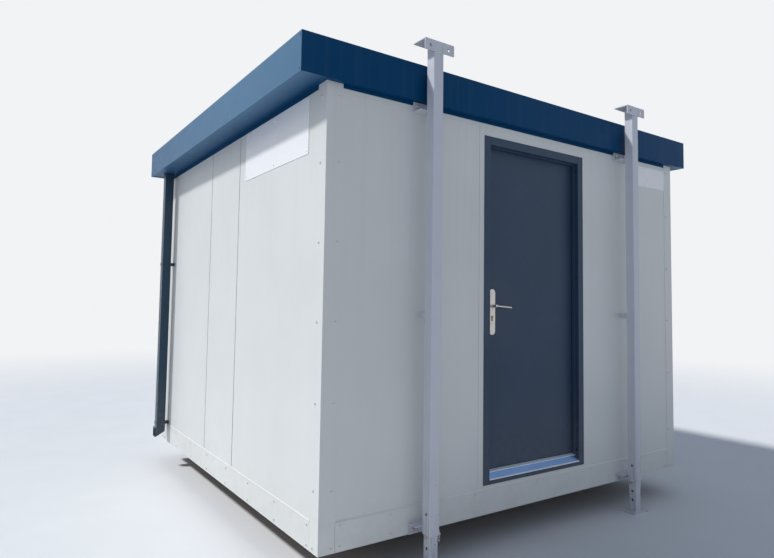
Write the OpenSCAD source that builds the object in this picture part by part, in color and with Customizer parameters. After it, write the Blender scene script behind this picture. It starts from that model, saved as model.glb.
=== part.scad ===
// Portable site cabin on four jack legs, with one door that opens inwards.
// Millimetres. +Z is up, the door side faces -Y, and the downpipe end faces -X.
// The origin is on the ground, under the middle of the roof.

/* [Body] */
// Length of the body along the door side
body_len = 3050; // [2900:10:3600]
// Depth of the body from the door side to the back
body_dep = 2970; // [2800:10:3600]
// Height of the wall bottoms above the ground
ground_gap = 188; // [150:1:240]
// Thickness of the insulated wall panels
wall_t = 75; // [50:1:90]
// Width of a full wall panel
panel_w = 1200; // [900:10:1300]
// Width of the open joint along the outside of two wall panels
panel_joint = 7; // [4:0.5:10]
// Depth of the open joint, in to where the panels meet
joint_depth = 12; // [6:1:20]

/* [Chassis and floor] */
// Height of the channel rails under the walls
rail_h = 140; // [100:5:145]
// Flange width of the channel rails
rail_w = 75; // [50:1:90]
// Steel thickness of the channel rails
rail_t = 4; // [3:0.5:8]
// Number of floor joists between the end rails
joist_n = 9; // [4:1:14]
// Width of the timber floor joists
joist_w = 45; // [30:1:60]
// Thickness of the floor deck
deck_t = 25; // [18:1:30]

/* [Trims] */
// Leg width of the corner trims
corner_leg = 90; // [60:1:120]
// Thickness of the folded trims
trim_t = 2; // [1:0.5:3]
// Height of the base trims
base_h = 150; // [146:1:158]
// Height of the folded drip along the top of the base trims
drip_h = 10; // [6:1:16]
// How far the drip stands out of the base trim
drip_out = 3; // [1:0.5:6]
// Height of the dark band under the soffit
band_h = 24; // [10:1:40]
// Gap between the ends of the trims
trim_gap = 1; // [0.5:0.5:3]

/* [Roof] */
// Overhang of the roof at the downpipe end
over_left = 165; // [155:1:220]
// Overhang of the roof at the other end
over_right = 140; // [100:1:220]
// Overhang of the roof at the front and back
over_front = 37; // [30:1:60]
// Height of the fascia above the soffit
fascia_h = 200; // [180:1:260]
// Sheet thickness of the fascia
fascia_t = 3; // [2:0.5:5]
// Width of the capping that turns in at the top of the fascia
fascia_cap = 40; // [30:1:50]
// Width of the lip that turns in under the soffit at the ends
fascia_lip = 20; // [12:1:25]
// Thickness of the ceiling and soffit boards
ceiling_t = 25; // [15:1:30]
// Number of roof joists
roof_joist_n = 7; // [4:1:10]
// Width of a roof joist
roof_joist_w = 45; // [35:1:60]
// Height of the roof joists at the gutter
joist_low = 85; // [84:1:95]
// Height of the roof joists at the far end
joist_high = 125; // [110:1:130]
// Height of the joist tails that carry the gutter
joist_tail = 30; // [20:1:30]
// Sheet thickness of the profiled roof
sheet_t = 2; // [1:0.5:3]
// Height of the ribs of the profiled roof
rib_h = 30; // [15:1:30]
// Distance from rib to rib
rib_pitch = 200; // [150:10:300]
// Width of a rib along its top
rib_top = 30; // [20:1:50]
// Sideways run of a rib's sloping flank
rib_flank = 18; // [10:1:25]

/* [Gutter and downpipe] */
// Distance from the box gutter's inner side to the wall's outer face
gutter_back = 22; // [10:1:22]
// Height of the box gutter
gutter_h = 50; // [40:1:52]
// Sheet thickness of the gutter
gutter_t = 2; // [1.5:0.5:3]
// Outside width of the square downpipe
pipe_w = 68; // [60:1:75]
// Wall thickness of the downpipe
pipe_t = 2.5; // [1.5:0.5:4]
// Gap between the downpipe and the wall
pipe_gap = 31; // [25:1:45]
// Distance from the downpipe's middle to the back corner
pipe_corner = 186; // [150:1:260]
// Height of the shoe's lowest edge above the wall bottoms
shoe_z = 54; // [30:1:100]
// Height of the shoe
shoe_h = 84; // [80:1:140]
// How far the shoe's mouth stands out of the pipe
shoe_out = 12; // [5:1:25]
// Free height under the lower pipe bracket, down to the base trim and the shoe
bracket_gap = 2; // [1:1:40]
// Height of the upper pipe bracket above the wall bottoms
bracket_high = 1510; // [1000:10:2000]
// Height of a pipe bracket's strap
strap_h = 25; // [15:1:40]
// Thickness of a pipe bracket's strap
strap_t = 3; // [2:0.5:5]

/* [Door frame] */
// Distance from the left end of the front to the door frame
door_x = 1066; // [700:1:1300]
// Distance from the door frame to the panel joint on its left
door_joint = 41; // [20:1:200]
// Outside width of the door frame
frame_w = 910; // [800:5:1200]
// Outside height of the door frame
frame_h = 2060; // [1900:5:2300]
// Height of the wall over the door frame
over_door = 95; // [60:1:200]
// Width of the frame's face
frame_face = 50; // [40:1:70]
// How far the face laps over the wall
frame_lap = 12; // [6:1:20]
// Thickness of the face that laps over the wall
face_t = 3; // [2:0.5:5]
// Depth from the wall's outer face to the step in the reveal
step_y = 27; // [15:1:35]
// Width of the stop that the leaf closes behind
stop_w = 8; // [5:1:12]
// How far the frame laps over the wall indoors
inner_lap = 25; // [10:1:50]
// Height of the dark sill under the threshold
sill_h = 25; // [15:1:35]
// How far the threshold's lip stands out of the wall
lip_out = 6; // [4:1:12]
// Thickness of the threshold's lip
lip_h = 5; // [3:1:10]
// Height of the ridge on the threshold
ridge_h = 37; // [20:1:45]
// Distance from the wall's outer face to the ridge
ridge_y = 26; // [15:1:35]
// Height of the threshold's back edge
upstand_h = 47; // [46:1:70]
// Thickness of the threshold behind the upstand
tread_t = 3; // [2:0.5:4]

/* [Door leaf] */
// Depth from the wall's outer face to the leaf
recess = 51; // [45:1:70]
// Thickness of the leaf
leaf_t = 44; // [40:1:54]
// How far the leaf laps behind the stop
leaf_lap = 12; // [8:1:15]
// Free space in front of and under the leaf
leaf_gap = 5; // [5:0.5:8]
// Free space beside the leaf at the lock
lock_gap = 7; // [7:0.5:9]
// Free space beside the leaf at the hinges
hinge_gap = 5; // [5:0.5:6]
// Number of hinges
hinge_n = 3; // [2:1:4]
// Height of a hinge
hinge_h = 100; // [80:1:140]
// Radius of the hinge knuckles
knuckle_r = 7; // [6:0.5:8]
// Radius of the hinge pins
hinge_pin_r = 4; // [3:0.5:5]
// Width of a hinge plate
hinge_plate = 37; // [25:1:45]
// Thickness of a hinge plate
hinge_t = 3; // [2:0.5:4]
// Distance from the leaf's ends to the outer hinges' middles
hinge_end = 220; // [150:5:400]

/* [Handle and lock] */
// Distance from the leaf's edge to the handle
backset = 65; // [60:1:90]
// Height of the handle above the leaf's bottom
handle_up = 1006; // [900:1:1100]
// Width of the backplates
plate_w = 48; // [40:1:60]
// Length of the backplates
plate_h = 276; // [240:1:300]
// Thickness of the backplates
plate_t = 8; // [5:1:10]
// Distance from the backplate's top to the handle
plate_top = 102; // [60:1:120]
// Radius of the lever's neck
neck_r = 9.9; // [8:0.1:12]
// Radius of the lever bar
lever_r = 6; // [6:0.5:9]
// Length of the lever from its pivot
lever_len = 130; // [110:1:145]
// How many degrees the lever hangs below level at rest
lever_sag = 4; // [0:1:8]
// Distance from the backplate to the middle of the lever
lever_out = 36; // [22:1:60]
// Distance from the handle down to the lock cylinder
lock_down = 66; // [60:1:92]
// How far the lock cylinder stands out of the backplates
lock_out = 3; // [1:0.5:6]

/* [Jack legs] */
// Distance from the left end of the body to the left legs
leg_left = 605; // [400:1:900]
// Distance from the right end of the body to the right legs
leg_right = 656; // [400:1:900]
// Gap between the fascia and the leg tubes
leg_gap = 30; // [15:1:60]
// Width of the outer leg tubes
leg_w = 65; // [60:1:80]
// Wall thickness of the leg tubes
leg_t = 4; // [3:0.5:5]
// Radius of the leg tubes' outer corners
leg_r = 6; // [6:0.5:8]
// Height of the outer tubes' lower ends above the wall bottoms
leg_low = 18; // [10:1:40]
// Free space on each side of the inner leg
slide_gap = 1; // [0.5:0.5:2]
// Height of the lifting angles above the fascia
leg_rise = 106; // [80:1:200]
// Width of the lifting angles
lift_w = 200; // [180:1:260]
// Height of the lifting angles' front flange
lift_h = 61; // [50:1:90]
// Depth of the lifting angles' top flange
lift_d = 106; // [90:1:120]
// Thickness of the lifting angles
lift_t = 6; // [4:1:12]
// Radius of the holes in the lifting angles
lift_hole_r = 9; // [6:0.5:12]
// Distance between the two holes of a lifting angle
lift_pitch = 125; // [110:1:150]
// Width of the angles that fix the legs to the body
fix_w = 150; // [100:1:200]
// Height of the angles that fix the legs to the body
fix_h = 58; // [40:1:80]
// Thickness of the angles that fix the legs to the body
fix_t = 6; // [4:1:10]
// Gap between the fascia's lip and the upper fixing angles
fix_gap = 2; // [1:1:20]
// Height above the wall bottoms of the spacers behind the legs
spacer_z = 1130; // [800:10:1600]
// Height of the spacers behind the legs
spacer_h = 37; // [20:1:60]
// Thickness of the spacers behind the legs
spacer_t = 10; // [5:1:20]
// Length of foot plates along the wall
foot_x = 150; // [100:5:250]
// Length of foot plates across the wall
foot_y = 100; // [80:5:200]
// Thickness of the foot plates
foot_t = 10; // [6:1:15]
// How far the inner legs reach up into the tubes
leg_inside = 700; // [600:10:900]
// Radius of the cross holes in the legs
cross_r = 8.5; // [6:0.5:10]
// Distance between the cross holes
cross_pitch = 57.5; // [40:0.5:60]
// Free space round a leg pin in its hole
pin_gap = 0.3; // [0.2:0.1:0.5]
// How far the leg pins stand out of the tubes, where their clips go through
pin_out = 26; // [15:1:35]
// How far the leg pins stand out at their other end
pin_end = 6; // [3:1:12]
// Number of hole pitches from the leg pin up to the travel hole
travel_n = 2; // [1:1:4]

/* [Hidden] */
$fn = 48;

// The modules below draw in the body's own frame: X to the right from the left end,
// Y inwards from the front wall's outer face, Z up from the bottom edge of the walls.
wall_x0 = over_left - (body_len + over_left + over_right) / 2;
wall_y0 = -body_dep / 2;

// Gap between two wall panels where they meet
panel_gap = 0.5;

// Heights
floor_z = rail_h + deck_t;
frame_top = floor_z + frame_h;
soffit_h = frame_top + over_door;
board_z = soffit_h + ceiling_t;
fascia_z = soffit_h - fascia_t;
fascia_top = soffit_h + fascia_h;
gutter_z = board_z + joist_tail;

// Door frame and leaf
frame_x1 = door_x + frame_w;
hole_x0 = door_x + frame_lap;
hole_x1 = frame_x1 - frame_lap;
hole_top = frame_top - frame_lap;
reveal_x0 = door_x + frame_face;
reveal_x1 = frame_x1 - frame_face;
leaf_x0 = reveal_x0 + stop_w - leaf_lap;
leaf_x1 = reveal_x1 - stop_w + leaf_lap;
leaf_top = frame_top - frame_face - stop_w + leaf_lap;
rebate_x0 = leaf_x0 - lock_gap;
rebate_x1 = leaf_x1 + hinge_gap;
rebate_top = leaf_top + leaf_gap;
stop_back = recess - leaf_gap;
leaf_back = recess + leaf_t;
sill_top = floor_z + sill_h;
leaf_z0 = sill_top + tread_t + leaf_gap;
cut = 1;

// Hinge line of the door, just clear of the leaf's inner face
knuckle_clear = 0.3;
hinge_x = leaf_x1 + hinge_gap / 2;
hinge_y = leaf_back + knuckle_clear + knuckle_r;
hinge_run = 0.1;
knuckle_gap = 1;
knuckle_n = 3;
knuckle_h = hinge_h / knuckle_n;
hinge_pitch = (leaf_top - leaf_z0 - 2 * hinge_end) / (hinge_n - 1);

// Handle and lock
handle_x = leaf_x0 + backset;
handle_z = leaf_z0 + handle_up;
lock_z = handle_z - lock_down;
neck_run = 0.1;
spindle_r = 5;
spindle_hole_r = 11;
lock_r = 8.5;
lock_stem_w = 10;
lock_stem_h = 25;
lock_clear = 0.3;

// Legs
leg_y = -(over_front + leg_gap + leg_w / 2);
leg_xs = [leg_left, body_len - leg_right];
leg_ends = [false, true];
leg_top = fascia_top + leg_rise;
inner_w = leg_w - 2 * leg_t - 2 * slide_gap;
pin_r = cross_r - pin_gap;
pin_z = leg_low - (pin_r + pin_gap);
travel_z = pin_z + travel_n * cross_pitch;
cross_low = -2;
cross_high = floor((leg_inside - leg_w - pin_z) / cross_pitch);
fix_y = -trim_t;

// Roof
roof_x0 = fascia_t - over_left;
roof_x1 = body_len + over_right - fascia_t;
roof_y0 = fascia_t - over_front;
roof_y1 = body_dep + over_front - fascia_t;
gutter_gap = 2;
sheet_x0 = gutter_gap - gutter_back;
sheet_gap = 2;
sheet_drip = 30;
roof_angle = atan((joist_high - joist_low) / (roof_x1 - sheet_x0));
sheet_len = (roof_x1 - sheet_gap - sheet_x0 + sheet_drip) / cos(roof_angle);
sheet_w = roof_y1 - roof_y0 - 2 * sheet_gap;
rib_foot = rib_top + 2 * rib_flank;
rib_n = floor((sheet_w - rib_foot) / rib_pitch) + 1;
rib_margin = (sheet_w - rib_foot - (rib_n - 1) * rib_pitch) / 2;
mitre_gap = 0.5;

// Downpipe
pipe_x = -(pipe_gap + pipe_w / 2);
pipe_y = body_dep - pipe_corner;
pipe_clear = 0.5;
shoe_top = shoe_z + shoe_h;
shoe_back = 40;
bracket_low = max(base_h, shoe_top) + bracket_gap;

// Colours
wall_colour = "gainsboro";
navy_colour = "midnightblue";
frame_colour = "darkslategray";
leg_colour = "lightsteelblue";
timber_colour = "burlywood";
bare_colour = "silver";

// Places what is drawn in the body's frame
module on_body() {
  translate([wall_x0, wall_y0, ground_gap]) children();
}

// A box from its lowest and highest values along each axis
module slab(xs, ys, zs) {
  translate([xs[0], ys[0], zs[0]])
    cube([xs[1] - xs[0], ys[1] - ys[0], zs[1] - zs[0]]);
}

// Draws an outline in Y and Z and runs it along X
module along_x(length) {
  rotate([90, 0, 90]) linear_extrude(length) children();
}

// Draws an outline in X and Z and runs it along Y
module along_y(length) {
  translate([0, length, 0]) rotate([90, 0, 0]) linear_extrude(length) children();
}

// A round bar along Y between two depths
module bar_y(r, y0, y1) {
  translate([0, y0, 0]) rotate([-90, 0, 0]) cylinder(h = y1 - y0, r = r);
}

// A round bar along X between two places
module bar_x(r, x0, x1) {
  translate([x0, 0, 0]) rotate([0, 90, 0]) cylinder(h = x1 - x0, r = r);
}

// Draws a piece at the left end or front, or mirrored to the right end or back
module flip_x(flip) {
  if (flip) translate([body_len, 0, 0]) mirror([1, 0, 0]) children();
  else children();
}
module flip_y(flip) {
  if (flip) translate([0, body_dep, 0]) mirror([0, 1, 0]) children();
  else children();
}

// Channel section with its web on the vertical axis
module channel(w, h, t) {
  polygon([[0, 0], [w, 0], [w, t], [t, t], [t, h - t], [w, h - t], [w, h], [0, h]]);
}

module chassis_long_rails() {
  color("dimgray") on_body()
    for (flip = [false, true]) flip_y(flip) along_x(body_len) channel(rail_w, rail_h, rail_t);
}

module chassis_end_rails() {
  length = body_dep - 2 * rail_w;
  color("dimgray") on_body() translate([0, rail_w, 0])
    for (flip = [false, true]) flip_x(flip) along_y(length) channel(rail_w, rail_h, rail_t);
}

// Timber joists from one long rail to the other
module floor_joists() {
  pitch = body_len / (joist_n + 1);
  color(timber_colour) on_body()
    for (i = [1 : joist_n])
      slab([i * pitch - joist_w / 2, i * pitch + joist_w / 2], [rail_w, body_dep - rail_w], [0, rail_h]);
}

module floor_deck() {
  color(timber_colour) on_body()
    slab([wall_t, body_len - wall_t], [wall_t, body_dep - wall_t], [rail_h, floor_z]);
}

// Panels of a wall along X, wider apart along the outside than where they meet
module panels(starts, ends) {
  zs = [rail_h, soffit_h];
  last = len(starts) - 1;
  for (layer = [[0, joint_depth, panel_joint / 2], [joint_depth, wall_t, panel_gap / 2]], i = [0 : last])
    slab([starts[i] + (i > 0 ? layer[2] : 0), ends[i] - (i < last ? layer[2] : 0)],
         [layer[0], layer[1]], zs);
}

module front_wall_left() {
  joint_x = door_x - door_joint;
  color(wall_colour) on_body() panels([wall_t, joint_x], [joint_x, hole_x0]);
}

module front_wall_right() {
  color(wall_colour) on_body()
    slab([hole_x1, body_len - wall_t], [0, wall_t], [rail_h, soffit_h]);
}

// Pieces of wall over the door frame and under its sill
module front_wall_infills() {
  color(wall_colour) on_body() {
    slab([hole_x0, hole_x1], [0, wall_t], [hole_top, soffit_h]);
    slab([hole_x0, hole_x1], [0, wall_t], [rail_h, floor_z]);
  }
}

// A whole wall: two full panels with a narrower one between them
module whole_wall(start, end) {
  joints = [panel_w, start + end - panel_w];
  panels(concat([start], joints), concat(joints, [end]));
}

// An end wall, with its outside turned to the left
module end_wall() {
  translate([0, body_dep, 0]) rotate(-90) whole_wall(0, body_dep);
}

module left_wall() {
  color(wall_colour) on_body() end_wall();
}

module right_wall() {
  color(wall_colour) on_body() flip_x(true) end_wall();
}

module back_wall() {
  color(wall_colour) on_body() flip_y(true) whole_wall(wall_t, body_len - wall_t);
}

module corner_trims() {
  color(wall_colour) on_body()
    for (fx = [false, true], fy = [false, true]) flip_x(fx) flip_y(fy)
      linear_extrude(soffit_h)
        polygon([
          [-trim_t, -trim_t], [corner_leg, -trim_t], [corner_leg, 0],
          [0, 0], [0, corner_leg], [-trim_t, corner_leg]
        ]);
}

// Base trim section, with the sloping drip along its top edge
module base_section() {
  drip_z = base_h - drip_h;
  polygon([
    [0, 0], [-trim_t, 0], [-trim_t, drip_z],
    [-trim_t - drip_out, drip_z], [-trim_t - drip_out, drip_z + trim_t], [0, base_h]
  ]);
}

module base_trims() {
  start = corner_leg + trim_gap;
  color(wall_colour) on_body()
    for (flip = [false, true]) {
      flip_y(flip) translate([start, 0, 0]) along_x(body_len - 2 * start) base_section();
      flip_x(flip) translate([0, start, 0]) along_y(body_dep - 2 * start) base_section();
    }
}

module eaves_bands() {
  start = corner_leg + trim_gap;
  zs = [soffit_h - band_h, soffit_h];
  color(navy_colour) on_body()
    for (flip = [false, true]) {
      flip_y(flip) slab([start, body_len - start], [-trim_t, 0], zs);
      flip_x(flip) slab([-trim_t, 0], [start, body_dep - start], zs);
    }
}

module ceiling_panel() {
  color("white") on_body() slab([0, body_len], [0, body_dep], [soffit_h, board_z]);
}

// The square way through the roof edge that the downpipe stands in
module pipe_way(clear, z0, z1) {
  half = pipe_w / 2 + clear;
  slab([pipe_x - half, pipe_x + half], [pipe_y - half, pipe_y + half], [z0, z1]);
}

module soffit_boards() {
  zs = [soffit_h, board_z];
  color(navy_colour) on_body() difference() {
    union() {
      slab([roof_x0, 0], [roof_y0, roof_y1], zs);
      slab([body_len, roof_x1], [roof_y0, roof_y1], zs);
      for (flip = [false, true])
        flip_y(flip) slab([trim_gap, body_len - trim_gap], [roof_y0, 0], zs);
    }
    pipe_way(pipe_clear, soffit_h - cut, board_z + cut);
  }
}

// Tapered joists that give the roof its fall, with tails under the gutter
module roof_joists() {
  pitch = (roof_y1 - roof_y0 - roof_joist_w) / (roof_joist_n - 1);
  color(timber_colour) on_body() difference() {
    for (i = [0 : roof_joist_n - 1])
      translate([0, roof_y0 + i * pitch, board_z]) along_y(roof_joist_w)
        polygon([
          [roof_x0, 0], [roof_x1, 0], [roof_x1, joist_high],
          [sheet_x0, joist_low], [sheet_x0, joist_tail], [roof_x0, joist_tail]
        ]);
    pipe_way(pipe_clear, board_z - cut, gutter_z + cut);
  }
}

// One face of the profiled sheet, as points across the roof at a height above the joists
function rib_line(lift) = concat(
  [[0, lift]],
  [for (i = [0 : rib_n - 1]) let (y = rib_margin + i * rib_pitch) each [
    [y, lift], [y + rib_flank, rib_h + lift],
    [y + rib_flank + rib_top, rib_h + lift], [y + rib_foot, lift]
  ]],
  [[sheet_w, lift]]
);
function reversed(points) = [for (i = [len(points) - 1 : -1 : 0]) points[i]];

module roof_sheet() {
  color("slategray") on_body()
    translate([sheet_x0, roof_y0 + sheet_gap, board_z + joist_low]) rotate([0, -roof_angle, 0])
      translate([-sheet_drip, 0, 0]) along_x(sheet_len)
        polygon(concat(rib_line(sheet_t), reversed(rib_line(0))));
}

module gutter() {
  wall = gutter_t;
  color("darkgray") on_body() difference() {
    slab([roof_x0, -gutter_back], [roof_y0, roof_y1], [gutter_z, gutter_z + gutter_h]);
    slab([roof_x0 + wall, -gutter_back - wall], [roof_y0 + wall, roof_y1 - wall],
         [gutter_z + wall, gutter_z + gutter_h + cut]);
    pipe_way(-pipe_t, gutter_z - cut, gutter_z + gutter_h);
  }
}

// Fascia section: a face with a lip under the soffit and a capping on top
module fascia_section(lip) {
  t = fascia_t;
  h = fascia_top - fascia_z;
  polygon([
    [0, 0], [lip, 0], [lip, t], [t, t],
    [t, h - t], [fascia_cap, h - t], [fascia_cap, h], [0, h]
  ]);
}

// A length of fascia along X with both ends cut at 45 degrees
module mitred_fascia(length, lip, gap) {
  reach = max(fascia_cap, lip);
  intersection() {
    along_x(length) fascia_section(lip);
    translate([0, 0, -cut]) linear_extrude(fascia_top)
      polygon([
        [gap, 0], [length - gap, 0],
        [length - gap - reach, reach], [gap + reach, reach]
      ]);
  }
}

// The lips at the front and back reach in to the wall trims
module fascia_long() {
  lip = over_front - trim_t - trim_gap;
  color(navy_colour) on_body()
    for (flip = [false, true])
      flip_y(flip) translate([-over_left, -over_front, fascia_z])
        mitred_fascia(body_len + over_left + over_right, lip, 0);
}

module fascia_ends() {
  length = body_dep + 2 * over_front;
  color(navy_colour) on_body() {
    translate([-over_left, length - over_front, fascia_z]) rotate(-90)
      mitred_fascia(length, fascia_lip, mitre_gap);
    translate([body_len + over_right, -over_front, fascia_z]) rotate(90)
      mitred_fascia(length, fascia_lip, mitre_gap);
  }
}

module downpipe() {
  color(navy_colour) on_body() difference() {
    pipe_way(0, shoe_top, gutter_z);
    pipe_way(-pipe_t, shoe_top - cut, gutter_z + cut);
  }
}

// The shoe turns the water outwards through its open mouth
module shoe_outline(inset, mouth) {
  left = pipe_x - pipe_w / 2;
  right = pipe_x + pipe_w / 2;
  rise = shoe_h - shoe_out;
  polygon([
    [right - inset, shoe_top + mouth], [right - inset, shoe_z + shoe_back + inset],
    [left - shoe_out + shoe_back / 4, shoe_z + inset], [left - shoe_out - mouth, shoe_z + inset],
    [left - shoe_out - mouth, shoe_z + rise - inset], [left + inset, shoe_top - inset],
    [left + inset, shoe_top + mouth]
  ]);
}

module downpipe_shoe() {
  inside = pipe_w - 2 * pipe_t;
  color(navy_colour) on_body() difference() {
    translate([0, pipe_y - pipe_w / 2, 0]) along_y(pipe_w) shoe_outline(0, 0);
    translate([0, pipe_y - inside / 2, 0]) along_y(inside) shoe_outline(pipe_t, cut);
  }
}

// Straps round the pipe, each with an arm and a flange on the wall
module downpipe_brackets() {
  arm_w = strap_h;
  flange_w = pipe_w + strap_h;
  color(navy_colour) on_body()
    for (z = [bracket_low, bracket_high]) difference() {
      union() {
        pipe_way(strap_t, z, z + strap_h);
        slab([-pipe_gap, 0], [pipe_y - arm_w / 2, pipe_y + arm_w / 2], [z, z + strap_h]);
        slab([-strap_t, 0], [pipe_y - flange_w / 2, pipe_y + flange_w / 2], [z, z + strap_h]);
      }
      pipe_way(0, z - cut, z + strap_h + cut);
    }
}

// Plan of a jamb, drawn from the frame's outer edge at x0 with its rebate at rebate_x
module jamb_plan(rebate_x) {
  polygon([
    [0, -face_t], [frame_face, -face_t], [frame_face, step_y],
    [frame_face + stop_w, step_y], [frame_face + stop_w, stop_back],
    [rebate_x, stop_back], [rebate_x, leaf_back],
    [frame_lap - inner_lap, leaf_back], [frame_lap - inner_lap, wall_t],
    [frame_lap, wall_t], [frame_lap, 0], [0, 0]
  ]);
}

// A jamb, cut back at the top to the two faces that lap over the wall
module jamb(rebate_x) {
  linear_extrude(hole_top - floor_z) jamb_plan(rebate_x);
  linear_extrude(frame_h) {
    translate([0, -face_t]) square([frame_face, face_t]);
    translate([frame_lap - inner_lap, wall_t])
      square([rebate_x - frame_lap + inner_lap, leaf_back - wall_t]);
  }
}

module door_jamb_left() {
  color(frame_colour) on_body() translate([door_x, 0, floor_z]) jamb(rebate_x0 - door_x);
}

module door_jamb_right() {
  color(frame_colour) on_body() translate([frame_x1, 0, floor_z]) mirror([1, 0, 0])
    jamb(frame_x1 - rebate_x1);
}

// Plan of the way between the jambs, with its front edge at y0
module way_plan(y0, gap) {
  polygon([
    [reveal_x0 + gap, y0], [reveal_x1 - gap, y0], [reveal_x1 - gap, step_y],
    [reveal_x1 - stop_w - gap, step_y], [reveal_x1 - stop_w - gap, stop_back],
    [rebate_x1 - gap, stop_back], [rebate_x1 - gap, leaf_back],
    [rebate_x0 + gap, leaf_back], [rebate_x0 + gap, stop_back],
    [reveal_x0 + stop_w + gap, stop_back], [reveal_x0 + stop_w + gap, step_y],
    [reveal_x0 + gap, step_y]
  ]);
}

module door_head() {
  stop_top = frame_top - frame_face - stop_w;
  color(frame_colour) on_body() {
    slab([reveal_x0, reveal_x1], [-face_t, 0], [frame_top - frame_face, frame_top]);
    slab([reveal_x0, reveal_x1], [0, step_y], [frame_top - frame_face, hole_top]);
    slab([reveal_x0 + stop_w, reveal_x1 - stop_w], [step_y, stop_back], [stop_top, hole_top]);
    slab([rebate_x0, rebate_x1], [stop_back, leaf_back], [rebate_top, hole_top]);
    slab([rebate_x0, rebate_x1], [wall_t, leaf_back], [rebate_top, frame_top]);
  }
}

module door_sill() {
  color(frame_colour) on_body() translate([0, 0, floor_z]) linear_extrude(sill_h)
    way_plan(-face_t, 0);
}

// Aluminium threshold: a lip, a slope up to the ridge, and a flat tread under the leaf
module door_threshold() {
  joint = trim_gap / 2;
  color(bare_colour) on_body() intersection() {
    translate([door_x, 0, sill_top]) along_x(frame_w)
      polygon([
        [-lip_out, 0], [-lip_out, lip_h], [0, lip_h + tread_t],
        [ridge_y, ridge_h], [stop_back, upstand_h], [stop_back, tread_t],
        [leaf_back, tread_t], [leaf_back, 0]
      ]);
    translate([0, 0, sill_top - cut]) linear_extrude(upstand_h + 2 * cut)
      way_plan(-lip_out - cut, joint);
  }
}

// Outline of the lock cylinder, drawn in X and Z
module lock_outline(grow) {
  translate([handle_x, lock_z]) {
    circle(r = lock_r + grow);
    translate([-lock_stem_w / 2 - grow, -lock_stem_h - grow])
      square([lock_stem_w + 2 * grow, lock_stem_h + grow]);
  }
}

module lock_cut(y0, y1) {
  translate([0, y0, 0]) along_y(y1 - y0) lock_outline(lock_clear);
}

module door_leaf() {
  color(frame_colour) on_body() difference() {
    slab([leaf_x0, leaf_x1], [recess, leaf_back], [leaf_z0, leaf_top]);
    translate([handle_x, 0, handle_z]) bar_y(spindle_hole_r, recess - cut, leaf_back + cut);
    lock_cut(recess - cut, leaf_back + cut);
  }
}

// Long plate with round ends between two depths
module backplate(y0, y1) {
  r = plate_w / 2;
  top = handle_z + plate_top - r;
  bottom = handle_z + plate_top - plate_h + r;
  difference() {
    union() {
      slab([handle_x - r, handle_x + r], [y0, y1], [bottom, top]);
      translate([handle_x, 0, bottom]) bar_y(r, y0, y1);
      translate([handle_x, 0, top]) bar_y(r, y0, y1);
    }
    translate([handle_x, 0, handle_z]) bar_y(neck_r + neck_run, y0 - cut, y1 + cut);
    lock_cut(y0 - cut, y1 + cut);
  }
}

module door_backplates() {
  color(bare_colour) on_body() {
    backplate(recess - plate_t, recess);
    backplate(leaf_back, leaf_back + plate_t);
  }
}

module lock_cylinder() {
  y0 = recess - plate_t - lock_out;
  y1 = leaf_back + plate_t + lock_out;
  color("goldenrod") on_body() translate([0, y0, 0]) along_y(y1 - y0) lock_outline(0);
}

// Both levers on one spindle, which turns about Y
module lever_handle() {
  y_out = recess - plate_t - lever_out;
  y_in = leaf_back + plate_t + lever_out;
  color(bare_colour) on_body() translate([handle_x, 0, handle_z]) {
    bar_y(neck_r, y_out, recess - cut);
    bar_y(neck_r, leaf_back + cut, y_in);
    bar_y(spindle_r, recess - 2 * cut, leaf_back + 2 * cut);
    for (y = [y_out, y_in]) translate([0, y, 0]) {
      sphere(r = neck_r);
      rotate([0, lever_sag, 0]) {
        bar_x(lever_r, 0, lever_len - lever_r);
        translate([lever_len - lever_r, 0, 0]) sphere(r = lever_r);
      }
    }
  }
}

// Height of the bottom of hinge number i
function hinge_z(i) = leaf_z0 + hinge_end - hinge_h / 2 + i * hinge_pitch;

// One knuckle with the web that joins it to its plate, on the side given by dir
module knuckle(level, dir) {
  low = level * knuckle_h + knuckle_gap / 2;
  high = (level + 1) * knuckle_h - knuckle_gap / 2;
  plate_y = -knuckle_r - knuckle_clear;
  reach = knuckle_r + knuckle_gap;
  translate([0, 0, low]) cylinder(h = high - low, r = knuckle_r);
  slab([min(0, dir * (reach + cut)), max(0, dir * (reach + cut))],
       [plate_y, plate_y + hinge_t], [low, high]);
}

// The plate of one hinge half, screwed to the leaf or to the frame
module hinge_plate_at(dir) {
  plate_y = -knuckle_r - knuckle_clear;
  near = knuckle_r + knuckle_gap;
  far = near + hinge_plate;
  slab([min(dir * near, dir * far), max(dir * near, dir * far)],
       [plate_y, plate_y + hinge_t], [0, hinge_h]);
}

module door_hinge_leaves() {
  color(bare_colour) on_body()
    for (i = [0 : hinge_n - 1]) translate([hinge_x, hinge_y, hinge_z(i)]) difference() {
      union() {
        hinge_plate_at(-1);
        knuckle(1, -1);
      }
      translate([0, 0, -cut]) cylinder(h = hinge_h + 2 * cut, r = hinge_pin_r + hinge_run);
    }
}

module door_hinge_pins() {
  color(bare_colour) on_body()
    for (i = [0 : hinge_n - 1]) translate([hinge_x, hinge_y, hinge_z(i)]) {
      hinge_plate_at(1);
      knuckle(0, 1);
      knuckle(2, 1);
      cylinder(h = hinge_h, r = hinge_pin_r);
    }
}

// Puts a piece drawn on a leg's own axis at every leg
module at_legs() {
  for (fy = leg_ends) flip_y(fy) for (x = leg_xs) translate([x, leg_y, 0]) children();
}

// Square bar with round corners between two heights, about its own axis
module square_bar(w, r, z0, z1) {
  flat = w / 2 - r;
  slab([-flat, flat], [-w / 2, w / 2], [z0, z1]);
  slab([-w / 2, w / 2], [-flat, flat], [z0, z1]);
  for (x = [-flat, flat], y = [-flat, flat])
    translate([x, y, z0]) cylinder(h = z1 - z0, r = r);
}

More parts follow.
